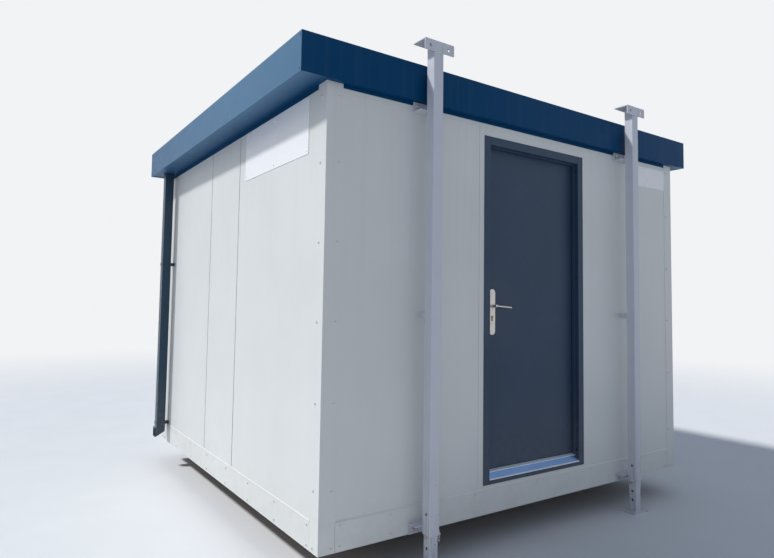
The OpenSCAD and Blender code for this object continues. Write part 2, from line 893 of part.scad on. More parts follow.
module square_tube(w, t, z0, z1) {
  difference() {
    square_bar(w, leg_r, z0, z1);
    square_bar(w - 2 * t, leg_r - t, z0 - cut, z1 + cut);
  }
}

module leg_tubes() {
  color(leg_colour) on_body() at_legs() difference() {
    square_tube(leg_w, leg_t, leg_low, leg_top - lift_t);
    translate([0, 0, travel_z]) bar_x(cross_r, -leg_w, leg_w);
  }
}

// Angles across the leg tops, with two holes for the lifting chains
module lifting_angles() {
  front = -leg_w / 2 - lift_t;
  color(leg_colour) on_body() at_legs() difference() {
    union() {
      slab([-lift_w / 2, lift_w / 2], [front, front + lift_t], [leg_top - lift_h, leg_top]);
      slab([-lift_w / 2, lift_w / 2], [front, front + lift_d], [leg_top - lift_t, leg_top]);
    }
    for (x = [-lift_pitch / 2, lift_pitch / 2])
      translate([x, 0, leg_top - (lift_h + lift_t) / 2])
        bar_y(lift_hole_r, front - cut, front + lift_t + cut);
  }
}

// Section of a fixing angle: one flange on the wall, the other out to the tube at height z
module fixing_section(z) {
  wall_y = fix_y - leg_y;
  translate([wall_y - fix_t, 0]) square([fix_t, fix_h]);
  translate([leg_w / 2, z]) square([wall_y - leg_w / 2, fix_t]);
}

// Angles at the base and under the eaves that carry each leg tube, with a spacer half way up
module leg_fixings() {
  color(leg_colour) on_body() at_legs() {
    translate([-fix_w / 2, 0, 0]) along_x(fix_w) fixing_section(fix_h - fix_t);
    translate([-fix_w / 2, 0, fascia_z - fix_gap - fix_h]) along_x(fix_w) fixing_section(0);
    slab([-spacer_t / 2, spacer_t / 2], [leg_w / 2, -leg_y], [spacer_z, spacer_z + spacer_h]);
  }
}

// Inner leg with its foot plate, cross holes and all, on its own axis
module jack_leg() {
  color(leg_colour) {
    difference() {
      square_tube(inner_w, leg_t, foot_t - ground_gap, leg_inside);
      for (k = [cross_low : cross_high])
        translate([0, 0, pin_z + k * cross_pitch]) bar_x(cross_r, -inner_w, inner_w);
    }
    slab([-foot_x / 2, foot_x / 2], [-foot_y / 2, foot_y / 2], [-ground_gap, foot_t - ground_gap]);
  }
}

// Pin through the inner leg, just under the outer tube that bears on it
module leg_pin() {
  color(bare_colour) translate([0, 0, pin_z])
    bar_x(pin_r, -leg_w / 2 - pin_end, leg_w / 2 + pin_out);
}

module at_leg(end, flip) {
  on_body() flip_y(flip) translate([leg_xs[end], leg_y, 0]) children();
}

module jack_leg_front_left() { at_leg(0, false) jack_leg(); }
module jack_leg_front_right() { at_leg(1, false) jack_leg(); }
module jack_leg_back_left() { at_leg(0, true) jack_leg(); }
module jack_leg_back_right() { at_leg(1, true) jack_leg(); }
module leg_pin_front_left() { at_leg(0, false) leg_pin(); }
module leg_pin_front_right() { at_leg(1, false) leg_pin(); }
module leg_pin_back_left() { at_leg(0, true) leg_pin(); }
module leg_pin_back_right() { at_leg(1, true) leg_pin(); }

chassis_long_rails();
chassis_end_rails();
floor_joists();
floor_deck();
front_wall_left();
front_wall_right();
front_wall_infills();
left_wall();
right_wall();
back_wall();
corner_trims();
base_trims();
eaves_bands();
ceiling_panel();
soffit_boards();
roof_joists();
roof_sheet();
gutter();
fascia_long();
fascia_ends();
downpipe();
downpipe_shoe();
downpipe_brackets();
door_jamb_left();
door_jamb_right();
door_head();
door_sill();
door_threshold();
door_leaf();
door_hinge_leaves();
door_hinge_pins();
door_backplates();
lock_cylinder();
lever_handle();
leg_tubes();
lifting_angles();
leg_fixings();
jack_leg_front_left();
jack_leg_front_right();
jack_leg_back_left();
jack_leg_back_right();
leg_pin_front_left();
leg_pin_front_right();
leg_pin_back_left();
leg_pin_back_right();
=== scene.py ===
import math

import bmesh
import bpy
from mathutils import Matrix, Vector


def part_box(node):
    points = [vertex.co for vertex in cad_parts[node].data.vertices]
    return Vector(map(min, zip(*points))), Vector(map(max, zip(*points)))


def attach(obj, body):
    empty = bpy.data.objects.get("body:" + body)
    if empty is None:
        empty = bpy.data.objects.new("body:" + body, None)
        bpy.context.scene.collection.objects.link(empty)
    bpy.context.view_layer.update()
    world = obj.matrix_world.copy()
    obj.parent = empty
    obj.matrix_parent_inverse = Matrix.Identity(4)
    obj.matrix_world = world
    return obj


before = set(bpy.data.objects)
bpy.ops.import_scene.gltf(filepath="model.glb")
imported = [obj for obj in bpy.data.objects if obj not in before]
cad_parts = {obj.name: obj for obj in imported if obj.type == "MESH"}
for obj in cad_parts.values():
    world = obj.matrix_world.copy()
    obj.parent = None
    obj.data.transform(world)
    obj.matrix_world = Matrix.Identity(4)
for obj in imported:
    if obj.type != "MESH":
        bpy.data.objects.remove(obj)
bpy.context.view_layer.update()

# Floor and background: the cabin stands on a plain pale floor that keeps its soft shadow.
# Far from the cabin the floor takes the background's own colour, so that no horizon shows.


def linear(hex_colour):
    """An sRGB hex colour as linear red, green, blue and alpha."""
    parts = [int(hex_colour[i:i + 2], 16) / 255 for i in (1, 3, 5)]
    curve = [c / 12.92 if c <= 0.04045 else ((c + 0.055) / 1.055) ** 2.4 for c in parts]
    return (*curve, 1.0)


def add(tree, kind, inputs=None, **settings):
    """Adds a node with its settings, and gives its inputs their values or links."""
    node = tree.nodes.new(kind)
    for name, value in settings.items():
        setattr(node, name, value)
    for key, value in (inputs or {}).items():
        if isinstance(value, bpy.types.NodeSocket):
            tree.links.new(value, node.inputs[key])
        else:
            node.inputs[key].default_value = value
    return node


def cells(size):
    """How many cells of a pattern fit in a metre, from the size of one in millimetres."""
    return 1000 / size


background = linear("#F2F3F5")
fill_light = Vector(linear("#D2E1F8")[:3]) * 0.42
floor_reach = 60.0
fade_near, fade_far = 5.0, 15.0


def backdrop_light(tree):
    """The background's colour: pale where a ray shows it, a plain cool fill where it lights the cabin."""
    path = add(tree, "ShaderNodeLightPath").outputs
    shown = add(tree, "ShaderNodeMath", {0: path["Is Camera Ray"], 1: path["Is Glossy Ray"]},
                operation="MAXIMUM").outputs[0]
    shown = add(tree, "ShaderNodeMath", {0: shown, 1: path["Is Transmission Ray"]},
                operation="MAXIMUM").outputs[0]
    return add(tree, "ShaderNodeMix", {0: shown, 6: (*fill_light, 1.0), 7: background},
               data_type="RGBA").outputs[2]


floor_mesh = bmesh.new()
bmesh.ops.create_circle(floor_mesh, cap_ends=True, segments=96, radius=floor_reach)
floor_data = bpy.data.meshes.new("studio_floor")
floor_mesh.to_mesh(floor_data)
floor_mesh.free()
floor = bpy.data.objects.new("studio_floor", floor_data)
bpy.context.scene.collection.objects.link(floor)
floor_paint = bpy.data.materials.new("pale_studio_floor")
floor_paint.use_nodes = True
tree = floor_paint.node_tree
tree.nodes.clear()
coords = add(tree, "ShaderNodeTexCoord").outputs["Object"]
distance = add(tree, "ShaderNodeVectorMath", {0: coords}, operation="LENGTH").outputs["Value"]
faded = add(tree, "ShaderNodeMapRange", {0: distance, 1: fade_near, 2: fade_far},
            interpolation_type="SMOOTHSTEP").outputs[0]
trowelled = add(tree, "ShaderNodeTexNoise", {0: coords, "Scale": cells(400), "Detail": 5.0}).outputs[0]
pale = add(tree, "ShaderNodeMix", {0: trowelled, 6: linear("#E2E3E4"), 7: linear("#E9EAEB")},
           data_type="RGBA").outputs[2]
matt = add(tree, "ShaderNodeBsdfDiffuse", {"Color": pale}).outputs[0]
glow = add(tree, "ShaderNodeEmission", {"Color": backdrop_light(tree)}).outputs[0]
blend = add(tree, "ShaderNodeMixShader", {0: faded, 1: matt, 2: glow}).outputs[0]
add(tree, "ShaderNodeOutputMaterial", {"Surface": blend})
floor_data.materials.append(floor_paint)

world = bpy.data.worlds.new("plain_background")
world.use_nodes = True
world.node_tree.nodes.clear()
sky = add(world.node_tree, "ShaderNodeBackground", {"Color": backdrop_light(world.node_tree)}).outputs[0]
add(world.node_tree, "ShaderNodeOutputWorld", {"Surface": sky})
bpy.context.scene.world = world

# Studio light: one soft lamp high on the left and a little behind the cabin, so that the
# downpipe end is the bright side and the door side lies in soft shade, as they do outdoors.

key_travel = Vector((0.573, -0.390, -0.722))
key_lamp = bpy.data.lights.new("wide_key", "SUN")
key_lamp.energy = 2.72
key_lamp.angle = math.radians(5)
key = bpy.data.objects.new("wide_key", key_lamp)
key.rotation_euler = key_travel.to_track_quat("-Z", "Y").to_euler()
bpy.context.scene.collection.objects.link(key)
bpy.context.scene.view_settings.view_transform = "Standard"

# Camera: a wide lens at eye height off the cabin's front left corner, nearly level.
# Its shift is the small crop that the picture's frame needs.

picture_wide, picture_high = 774, 558
focal_pixels = 593.85
centre_across, centre_down = 388.27, 267.86
eye = Vector((-2.8863, -4.0590, 1.3960))
yaw, pitch, roll = math.radians(34.30), math.radians(3.467), math.radians(0.845)
ahead = Vector((math.sin(yaw) * math.cos(pitch), math.cos(yaw) * math.cos(pitch), math.sin(pitch)))
level_right = Vector((math.cos(yaw), -math.sin(yaw), 0))
level_up = level_right.cross(ahead)
right = level_right * math.cos(roll) + level_up * math.sin(roll)
up = level_up * math.cos(roll) - level_right * math.sin(roll)
camera_data = bpy.data.cameras.new("camera")
camera_data.sensor_width = 36
camera_data.lens = focal_pixels / picture_wide * camera_data.sensor_width
camera_data.shift_x = (picture_wide / 2 - centre_across) / picture_wide
camera_data.shift_y = (centre_down - picture_high / 2) / picture_wide
camera = bpy.data.objects.new("camera", camera_data)
camera.matrix_world = Matrix.Translation(eye) @ Matrix((right, up, -ahead)).transposed().to_4x4()
bpy.context.scene.collection.objects.link(camera)
bpy.context.scene.camera = camera

# Chassis: cold-rolled channel rails under the walls, in black bitumen paint.
# The paint is thick and slightly glossy, and rust comes through it in small patches.


def begin(name):
    """A new material: its tree, object coordinates in metres, their parts, and the way it faces."""
    material = bpy.data.materials.new(name)
    material.use_nodes = True
    tree = material.node_tree
    tree.nodes.clear()
    source = add(tree, "ShaderNodeTexCoord").outputs
    place = add(tree, "ShaderNodeSeparateXYZ", {0: source["Object"]}).outputs
    facing = add(tree, "ShaderNodeSeparateXYZ", {0: source["Normal"]}).outputs
    return material, tree, source["Object"], place, facing


def close(tree, inputs, bumps=()):
    """Chains the bumps, each a height and its depth in metres, and closes the material."""
    for height, depth in bumps:
        bump = add(tree, "ShaderNodeBump", {"Height": height, "Distance": depth})
        if "Normal" in inputs:
            tree.links.new(inputs["Normal"], bump.inputs["Normal"])
        inputs["Normal"] = bump.outputs[0]
    shader = add(tree, "ShaderNodeBsdfPrincipled", inputs).outputs[0]
    add(tree, "ShaderNodeOutputMaterial", {"Surface": shader})


def dress(material, *nodes):
    """Gives CAD nodes their finish."""
    for node in nodes:
        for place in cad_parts[node].material_slots:
            place.material = material


def ease(width, *nodes):
    """Welds CAD nodes' loose faces and rounds their sharp edges, by a width in millimetres."""
    for node in nodes:
        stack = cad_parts[node].modifiers
        stack.new("weld", "WELD").merge_threshold = 0.00002
        flat = stack.new("flat", "DECIMATE")
        flat.decimate_type = "DISSOLVE"
        flat.angle_limit = math.radians(1)
        rounded = stack.new("rounded", "BEVEL")
        rounded.width = width / 1000
        rounded.segments = 2
        rounded.limit_method = "ANGLE"
        rounded.angle_limit = math.radians(35)


chassis_paint, tree, coords, place, facing = begin("bitumen_painted_channel")
patch = add(tree, "ShaderNodeTexNoise",
            {0: coords, "Scale": cells(71), "Detail": 8.0, "Roughness": 0.7}).outputs[0]
brushed = add(tree, "ShaderNodeTexNoise", {0: coords, "Scale": cells(11), "Detail": 3.0}).outputs[0]
rusted = add(tree, "ShaderNodeMapRange", {0: patch, 1: 0.60, 2: 0.66}).outputs[0]
colour = add(tree, "ShaderNodeMix", {0: rusted, 6: linear("#2B2D30"), 7: linear("#5A3826")},
             data_type="RGBA").outputs[2]
rough = add(tree, "ShaderNodeMapRange", {0: patch, 1: 0.3, 2: 0.7, 3: 0.42, 4: 0.8}).outputs[0]
close(tree, {"Base Color": colour, "Roughness": rough}, [(patch, 0.001), (brushed, 0.0004)])
dress(chassis_paint, "chassis_long_rails", "chassis_end_rails")
ease(1.5, "chassis_long_rails", "chassis_end_rails")

# Floor: sawn softwood joists between the rails carry a chipboard deck with grey sheet vinyl on top.
# The joists show long grain, the deck shows pressed chips, and the vinyl shows small pale flecks.


def softwood(name, grain):
    """Sawn softwood, from how far its grain runs along x, y and z in millimetres."""
    material, tree, coords, place, facing = begin(name)
    drawn = add(tree, "ShaderNodeMapping", {0: coords, "Scale": [cells(size) for size in grain]}).outputs[0]
    rings = add(tree, "ShaderNodeTexNoise",
                {0: drawn, "Scale": 1.0, "Detail": 5.0, "Distortion": 1.2}).outputs[0]
    tone = add(tree, "ShaderNodeTexNoise", {0: coords, "Scale": cells(770)}).outputs[0]
    wood = add(tree, "ShaderNodeMix", {0: rings, 6: linear("#8E6A43"), 7: linear("#C9A676")},
                data_type="RGBA").outputs[2]
    aged = add(tree, "ShaderNodeMapRange", {0: tone, 1: 0.35, 2: 0.7, 3: 0.0, 4: 0.5}).outputs[0]
    colour = add(tree, "ShaderNodeMix", {0: aged, 6: wood, 7: linear("#8B7A63")},
                 data_type="RGBA").outputs[2]
    rough = add(tree, "ShaderNodeMapRange", {0: rings, 3: 0.85, 4: 0.65}).outputs[0]
    close(tree, {"Base Color": colour, "Roughness": rough}, [(rings, 0.0008)])
    return material


dress(softwood("sawn_softwood_floor_joists", (14, 500, 14)), "floor_joists")

deck_board, tree, coords, place, facing = begin("chipboard_deck_with_sheet_vinyl")
chips = add(tree, "ShaderNodeTexVoronoi", {0: coords, "Scale": cells(9)}).outputs["Color"]
chip_tone = add(tree, "ShaderNodeSeparateXYZ", {0: chips}).outputs[0]
wood_chips = add(tree, "ShaderNodeMix", {0: chip_tone, 6: linear("#8A6B45"), 7: linear("#C7A878")},
                 data_type="RGBA").outputs[2]
flecks = add(tree, "ShaderNodeTexVoronoi", {0: coords, "Scale": cells(6.2)}).outputs["Distance"]
fleck = add(tree, "ShaderNodeMapRange", {0: flecks, 1: 0.16, 2: 0.22, 3: 1.0, 4: 0.0}).outputs[0]
trodden = add(tree, "ShaderNodeTexNoise", {0: coords, "Scale": cells(550), "Detail": 5.0}).outputs[0]
vinyl = add(tree, "ShaderNodeMix", {0: trodden, 6: linear("#6E7478"), 7: linear("#7F858A")},
            data_type="RGBA").outputs[2]
vinyl = add(tree, "ShaderNodeMix", {0: fleck, 6: vinyl, 7: linear("#A9AEB2")},
            data_type="RGBA").outputs[2]
on_top = add(tree, "ShaderNodeMath", {0: facing[2], 1: 0.5}, operation="GREATER_THAN").outputs[0]
colour = add(tree, "ShaderNodeMix", {0: on_top, 6: wood_chips, 7: vinyl}, data_type="RGBA").outputs[2]
rough = add(tree, "ShaderNodeMapRange", {0: on_top, 3: 0.85, 4: 0.48}).outputs[0]
close(tree, {"Base Color": colour, "Roughness": rough}, [(chip_tone, 0.0003)])
dress(deck_board, "floor_deck")

# Walls: insulated panels with a light grey colour-coated steel skin outside and a white
# vinyl-faced board inside. The coat is satin, flat in colour, and a little wavy over the core.

corner = Vector((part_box("left_wall")[0].x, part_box("front_wall_left")[0].y,
                 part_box("chassis_long_rails")[0].z))
far_corner = Vector((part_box("right_wall")[1].x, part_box("back_wall")[1].y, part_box("ceiling_panel")[0].z))
body_middle = (corner + far_corner) / 2
body_half = (far_corner - corner) / 2
skin_depth = 0.04


def coated_steel(name, colour, rough, shine=0.5, rain=0.0, splash=0.0, dust=0.0, painted_sheen=0.0, lining=None):
    """Colour-coated steel with rain marks, splashes near the ground, dust on top, and a painted pale sheen on
    the ends and outer soffit.
    """
    material, tree, coords, place, facing = begin(name)
    broad = add(tree, "ShaderNodeTexNoise", {0: coords, "Scale": cells(590), "Detail": 3.0}).outputs[0]
    patch = add(tree, "ShaderNodeTexNoise",
                {0: coords, "Scale": cells(77), "Detail": 6.0, "Roughness": 0.65}).outputs[0]
    drawn = add(tree, "ShaderNodeMapping",
                {0: coords, "Scale": (cells(29), cells(29), cells(1250))}).outputs[0]
    runs = add(tree, "ShaderNodeTexNoise", {0: drawn, "Scale": 1.0, "Detail": 4.0}).outputs[0]
    # The real emboss is under 1 mm, so it is drawn at 3 mm to show at all.
    emboss = add(tree, "ShaderNodeTexNoise", {0: coords, "Scale": cells(3), "Detail": 1.0}).outputs[0]
    tint = add(tree, "ShaderNodeMapRange", {0: broad, 1: 0.3, 2: 0.7, 3: 0.965, 4: 1.02}).outputs[0]
    shade = add(tree, "ShaderNodeVectorMath", {0: linear(colour)[:3], "Scale": tint},
                operation="SCALE").outputs[0]
    wet = add(tree, "ShaderNodeMapRange", {0: runs, 1: 0.5, 2: 0.72, 3: 0.0, 4: rain}).outputs[0]
    high = add(tree, "ShaderNodeMapRange", {0: place[2], 1: 1.3, 2: 2.5, 3: 0.35, 4: 1.0}).outputs[0]
    wet = add(tree, "ShaderNodeMath", {0: wet, 1: high}, operation="MULTIPLY").outputs[0]
    low = add(tree, "ShaderNodeMapRange", {0: place[2], 1: 0.19, 2: 0.55, 3: splash, 4: 0.0},
              interpolation_type="SMOOTHSTEP").outputs[0]
    flat = add(tree, "ShaderNodeMapRange", {0: facing[2], 1: 0.5, 2: 0.9, 3: 0.0, 4: dust}).outputs[0]
    spots = add(tree, "ShaderNodeMapRange", {0: patch, 1: 0.36, 2: 0.66}).outputs[0]
    dirty = add(tree, "ShaderNodeMath", {0: low, 1: flat}, operation="ADD").outputs[0]
    dirty = add(tree, "ShaderNodeMath",
                {0: dirty, 1: spots}, operation="MULTIPLY", use_clamp=True).outputs[0]
    streaked = add(tree, "ShaderNodeMix", {0: wet, 6: shade, 7: linear("#77736A")},
                   data_type="RGBA").outputs[2]
    skin = add(tree, "ShaderNodeMix", {0: dirty, 6: streaked, 7: linear("#A79C88")},
               data_type="RGBA").outputs[2]
    satin = add(tree, "ShaderNodeMapRange",
                {0: patch, 1: 0.3, 2: 0.7, 3: rough - 0.04, 4: rough + 0.06}).outputs[0]
    satin = add(tree, "ShaderNodeMath", {0: dirty, 1: 0.3, 2: satin}, operation="MULTIPLY_ADD").outputs[0]
    off = add(tree, "ShaderNodeVectorMath", {0: coords, 1: body_middle}, operation="SUBTRACT").outputs[0]
    off = add(tree, "ShaderNodeVectorMath", {0: off}, operation="ABSOLUTE").outputs[0]
    off = add(tree, "ShaderNodeSeparateXYZ", {0: off}).outputs
    if lining:
        within = [add(tree, "ShaderNodeMath", {0: off[axis], 1: body_half[axis] - skin_depth},
                      operation="LESS_THAN").outputs[0] for axis in (0, 1)]
        indoors = add(tree, "ShaderNodeMath", {0: within[0], 1: within[1]}, operation="MULTIPLY").outputs[0]
        faced = add(tree, "ShaderNodeMix", {0: broad, 6: linear(lining), 7: linear("#DEDDD8")},
                    data_type="RGBA").outputs[2]
        skin = add(tree, "ShaderNodeMix", {0: indoors, 6: skin, 7: faced}, data_type="RGBA").outputs[2]
        satin = add(tree, "ShaderNodeMix", {0: indoors, 2: satin, 3: 0.6}).outputs[0]
    finish = {"Base Color": skin, "Roughness": satin, "Specular IOR Level": shine}
    if painted_sheen:
        # A painted sheen, standing in for reflected sky light, lies on the ends and the outer soffit, and
        # thins out towards the back.
        long_face = add(tree, "ShaderNodeMath", {0: facing[1]}, operation="ABSOLUTE").outputs[0]
        painted_sheen_weight = add(tree, "ShaderNodeMapRange", {0: long_face, 1: 0.3, 2: 0.7, 3: painted_sheen, 4: 0.1}).outputs[0]
        past_walls = add(tree, "ShaderNodeMapRange",
                       {0: off[0], 1: body_half.x + 0.03, 2: body_half.x + 0.15}).outputs[0]
        to_back = add(tree, "ShaderNodeMapRange",
                      {0: place[1], 1: -1.5, 2: 1.5, 3: 1.75, 4: 0.55}).outputs[0]
        painted_sheen_weight = add(tree, "ShaderNodeMath", {0: painted_sheen_weight, 1: past_walls}, operation="MULTIPLY").outputs[0]
        painted_sheen_weight = add(tree, "ShaderNodeMath", {0: painted_sheen_weight, 1: to_back}, operation="MULTIPLY").outputs[0]
        finish |= {"Sheen Weight": painted_sheen_weight, "Sheen Roughness": 0.5, "Sheen Tint": linear("#A9D0E9")}
    close(tree, finish, [(broad, 0.004), (emboss, 0.00010)])
    return material


wall_steel = coated_steel("light_grey_coated_steel", "#DDDEDB", 0.42, rain=0.04, splash=0.12, dust=0.4,
                          lining="#EAE9E5")
walls = ("front_wall_left", "front_wall_right", "front_wall_infills", "left_wall", "right_wall", "back_wall")
dress(wall_steel, *walls, "corner_trims", "base_trims")
ease(1.5, *walls)
ease(0.8, "corner_trims", "base_trims")

# Trim screws: self-drilling hex screws with bonded washers, painted to match the grey trims.
# They hold the corner trims in two lines a face, and the base trims in rows near top and bottom.


def begin_tree(name, inputs, output):
    """A geometry tree with its named inputs and its output, and the sockets that give the inputs."""
    tree = bpy.data.node_groups.new(name, "GeometryNodeTree")
    for title, kind in inputs:
        tree.interface.new_socket(title, in_out="INPUT", socket_type="NodeSocket" + kind)
    tree.interface.new_socket(output, in_out="OUTPUT", socket_type="NodeSocketGeometry")
    return tree, add(tree, "NodeGroupInput").outputs


def close_tree(tree, geometry, finish):
    """Makes a tree's instances real, gives them their finish and ends the tree."""
    real = add(tree, "GeometryNodeRealizeInstances", {0: geometry}).outputs[0]
    done = add(tree, "GeometryNodeSetMaterial", {0: real, "Material": finish}).outputs[0]
    add(tree, "NodeGroupOutput", {0: done})
    return tree


def heads_tree():
    """A crowned head on a round washer at every place, turned to face the way that place faces."""
    tree, given = begin_tree("fastener_heads", (
        ("Places", "Geometry"), ("Sides", "Int"), ("Head Radius", "Float"), ("Head Height", "Float"),
        ("Crown Radius", "Float"), ("Crown Height", "Float"), ("Washer Radius", "Float"),
        ("Washer Height", "Float"), ("Seed", "Int"), ("Finish", "Material")), "Heads")
    whole = add(tree, "GeometryNodeJoinGeometry")
    seat, washer_sides = given["Washer Height"], 20
    shoulder = add(tree, "ShaderNodeMath", {0: seat, 1: given["Head Height"]}, operation="ADD").outputs[0]
    for sides, low, high, tall, level in (
        (washer_sides, "Washer Radius", "Washer Radius", "Washer Height", 0.0),
        (given["Sides"], "Head Radius", "Head Radius", "Head Height", seat),
        (given["Sides"], "Head Radius", "Crown Radius", "Crown Height", shoulder),
    ):
        part = add(tree, "GeometryNodeMeshCone", {
            "Vertices": sides, "Radius Bottom": given[low], "Radius Top": given[high], "Depth": given[tall]})
        raised = add(tree, "ShaderNodeCombineXYZ", {2: level}).outputs[0]
        part = add(tree, "GeometryNodeTransform",
                   {0: part.outputs["Mesh"], "Translation": raised}).outputs[0]
        tree.links.new(part, whole.inputs[0])
    facing = add(tree, "GeometryNodeInputNamedAttribute", {"Name": "facing"},
                 data_type="FLOAT_VECTOR").outputs[0]
    turned = add(tree, "FunctionNodeAlignRotationToVector", {"Vector": facing}, axis="Z").outputs[0]
    angle = add(tree, "FunctionNodeRandomValue", {2: 0.0, 3: math.tau, "Seed": given["Seed"]},
                data_type="FLOAT").outputs[1]
    spin = add(tree, "FunctionNodeAxisAngleToRotation", {"Axis": (0, 0, 1), "Angle": angle}).outputs[0]
    turned = add(tree, "FunctionNodeRotateRotation", {0: turned, 1: spin}, rotation_space="LOCAL").outputs[0]
    placed = add(tree, "GeometryNodeInstanceOnPoints", {
        "Points": given["Places"], "Instance": whole.outputs[0], "Rotation": turned}).outputs[0]
    return close_tree(tree, placed, given["Finish"])


def settle(name, mesh, body):
    """Puts a finished mesh in the scene, to move with a body."""
    piece = bpy.data.objects.new(name, mesh)
    bpy.context.scene.collection.objects.link(piece)
    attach(piece, body)
    return piece


def grow(name, mesh, tree, body, sizes):
    """Runs a geometry tree on a mesh and settles what it makes as one plain mesh."""
    carrier = bpy.data.objects.new(name + "_carrier", mesh)
    bpy.context.scene.collection.objects.link(carrier)
    growth = carrier.modifiers.new("growth", "NODES")
    growth.node_group = tree
    for item in tree.interface.items_tree:
        if item.in_out == "INPUT" and item.name in sizes:
            growth[item.identifier] = sizes[item.name]
    graph = bpy.context.evaluated_depsgraph_get()
    grown = bpy.data.meshes.new_from_object(carrier.evaluated_get(graph))
    grown.name = name
    carrier.modifiers.remove(growth)
    bpy.data.objects.remove(carrier)
    return settle(name, grown, body)


fastener_heads = heads_tree()


def fasten(name, spots, body, finish, sizes):
    """Fasteners at the spots, each a place in metres and the way that it faces."""
    mesh = bpy.data.meshes.new(name)
    mesh.from_pydata([where for where, _ in spots], [], [])
    facing = mesh.attributes.new("facing", "FLOAT_VECTOR", "POINT")
    for entry, (_, way) in zip(facing.data, spots):
        entry.vector = way
    return grow(name, mesh, fastener_heads, body, {"Seed": 7, **sizes, "Finish": finish})


def fastener(sides, head, crown, washer):
    """A fastener's sizes, from a radius and a height in millimetres for each of its three parts."""
    sizes = {"Sides": sides}
    for part, (radius, height) in (("Head", head), ("Crown", crown), ("Washer", washer)):
        sizes |= {part + " Radius": radius / 1000, part + " Height": height / 1000}
    return sizes


def at(x, y, z):
    """A place in millimetres from the body's front left corner and the wall bottoms, in metres."""
    return corner + Vector((x, y, z)) / 1000


def reach(node):
    """A CAD node's lowest and highest corners, in the same millimetres, to the nearest tenth."""
    return [Vector([round(part, 1) for part in (end - corner) * 1000]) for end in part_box(node)]


body_len, body_dep = reach("right_wall")[1].xy
trim_face = reach("corner_trims")[1].y - body_dep
left_way, right_way = Vector((-1, 0, 0)), Vector((1, 0, 0))
front_way, back_way, up_way = Vector((0, -1, 0)), Vector((0, 1, 0)), Vector((0, 0, 1))
hex_screw = fastener(6, head=(4.6, 3.4), crown=(3.6, 1.0), washer=(7.5, 1.6))
front_inset, end_inset, base_inset, end_drop = 69, 57, 118, 4
corner_rows = [(height, (front_inset, body_len - front_inset), height, (end_inset, body_dep - end_inset))
               for height in (23, 294, 715, 1113, 1509, 1911, 2250)]
base_rows = [(height, (base_inset, 420, 1000, 1525, 2050, 2630, body_len - base_inset),
              height - end_drop, (*range(base_inset, 2500, 393), body_dep - base_inset))
             for height in (25, 123)]
trim_screws = []
for front_height, across, end_height, along in corner_rows + base_rows:
    for x in across:
        trim_screws.append((at(x, -trim_face, front_height), front_way))
        trim_screws.append((at(x, body_dep + trim_face, front_height), back_way))
    for y in along:
        trim_screws.append((at(-trim_face, y, end_height), left_way))
        trim_screws.append((at(body_len + trim_face, y, end_height), right_way))
fasten("trim_screws", trim_screws, "cabin", wall_steel, hex_screw)

# Panel joints: a dark strip of rubber down each joint of the end and back walls, pressed in to just under
# the surface, as painted shade for the shadow in those joints. The joint beside the door is closed by a strip
# of the walls' own steel instead.


def board(name, low, high, edge, body, finish):
    """A flat board between two corners, with its edges eased."""
    form = bmesh.new()
    bmesh.ops.create_cube(form, size=1)
    size, middle = high - low, (high + low) / 2
    for vertex in form.verts:
        vertex.co = middle + Vector(a * b for a, b in zip(vertex.co, size))
    bmesh.ops.bevel(form, geom=form.edges[:], offset=edge, segments=2, affect="EDGES", profile=0.5)
    mesh = bpy.data.meshes.new(name)
    form.to_mesh(mesh)
    form.free()
    mesh.materials.append(finish)
    return settle(name, mesh, body)


def two_tone(name, tones, patch, rough, grain, depth, metallic=0.0):
    """A finish of two tones in soft patches, with a finer grain in relief, all sizes in millimetres."""
    material, tree, coords, place, facing = begin(name)
    cloud = add(tree, "ShaderNodeTexNoise", {0: coords, "Scale": cells(patch), "Detail": 4.0}).outputs[0]
    drawn = add(tree, "ShaderNodeMapping", {0: coords, "Scale": [cells(size) for size in grain]}).outputs[0]
    relief = add(tree, "ShaderNodeTexNoise", {0: drawn, "Scale": 1.0, "Detail": 2.0}).outputs[0]
    colour = add(tree, "ShaderNodeMix", {0: cloud, 6: linear(tones[0]), 7: linear(tones[1])},
                 data_type="RGBA").outputs[2]
    satin = add(tree, "ShaderNodeMapRange", {0: cloud, 1: 0.3, 2: 0.7, 3: rough[0], 4: rough[1]}).outputs[0]
    close(tree, {"Base Color": colour, "Roughness": satin, "Metallic": metallic}, [(relief, depth / 1000)])
    return material


# Rubber is matt and nearly black, with a grey chalk where it has dried out.
rubber_and_joint_shade = two_tone("dark_rubber_seal_and_joint_shade", ("#14161A", "#2C2F33"), 17, (0.6, 0.85), (17, 17, 17), 0.2)
panel_width, joint_half, joint_out, joint_in, joint_low, joint_top = 1200, 3.4, 1.5, 11.8, 145, 2312
joint_shade_strips = []
for number, y in enumerate((panel_width, body_dep - panel_width)):
    y0, y1 = y - joint_half, y + joint_half
    joint_shade_strips.append((f"panel_seal_left_{number}", (joint_out, y0), (joint_in, y1)))
    joint_shade_strips.append((f"panel_seal_right_{number}", (body_len - joint_in, y0), (body_len - joint_out, y1)))
for number, x in enumerate((panel_width, body_len - panel_width)):
    joint_shade_strips.append((f"panel_seal_back_{number}", (x - joint_half, body_dep - joint_in),
                  (x + joint_half, body_dep - joint_out)))
# These dark strips are painted shade in the wall joints.
for name, near, far in joint_shade_strips:
    board(name, at(*near, joint_low), at(*far, joint_top), 0.0008, "cabin", rubber_and_joint_shade)
joint_gap, strip_out = 28, 2.5
front_joint = reach("door_jamb_left")[0].x - joint_gap
board("panel_strip_front", at(front_joint - joint_half, strip_out, joint_low),
      at(front_joint + joint_half, joint_in, joint_top), 0.0004, "cabin", wall_steel)
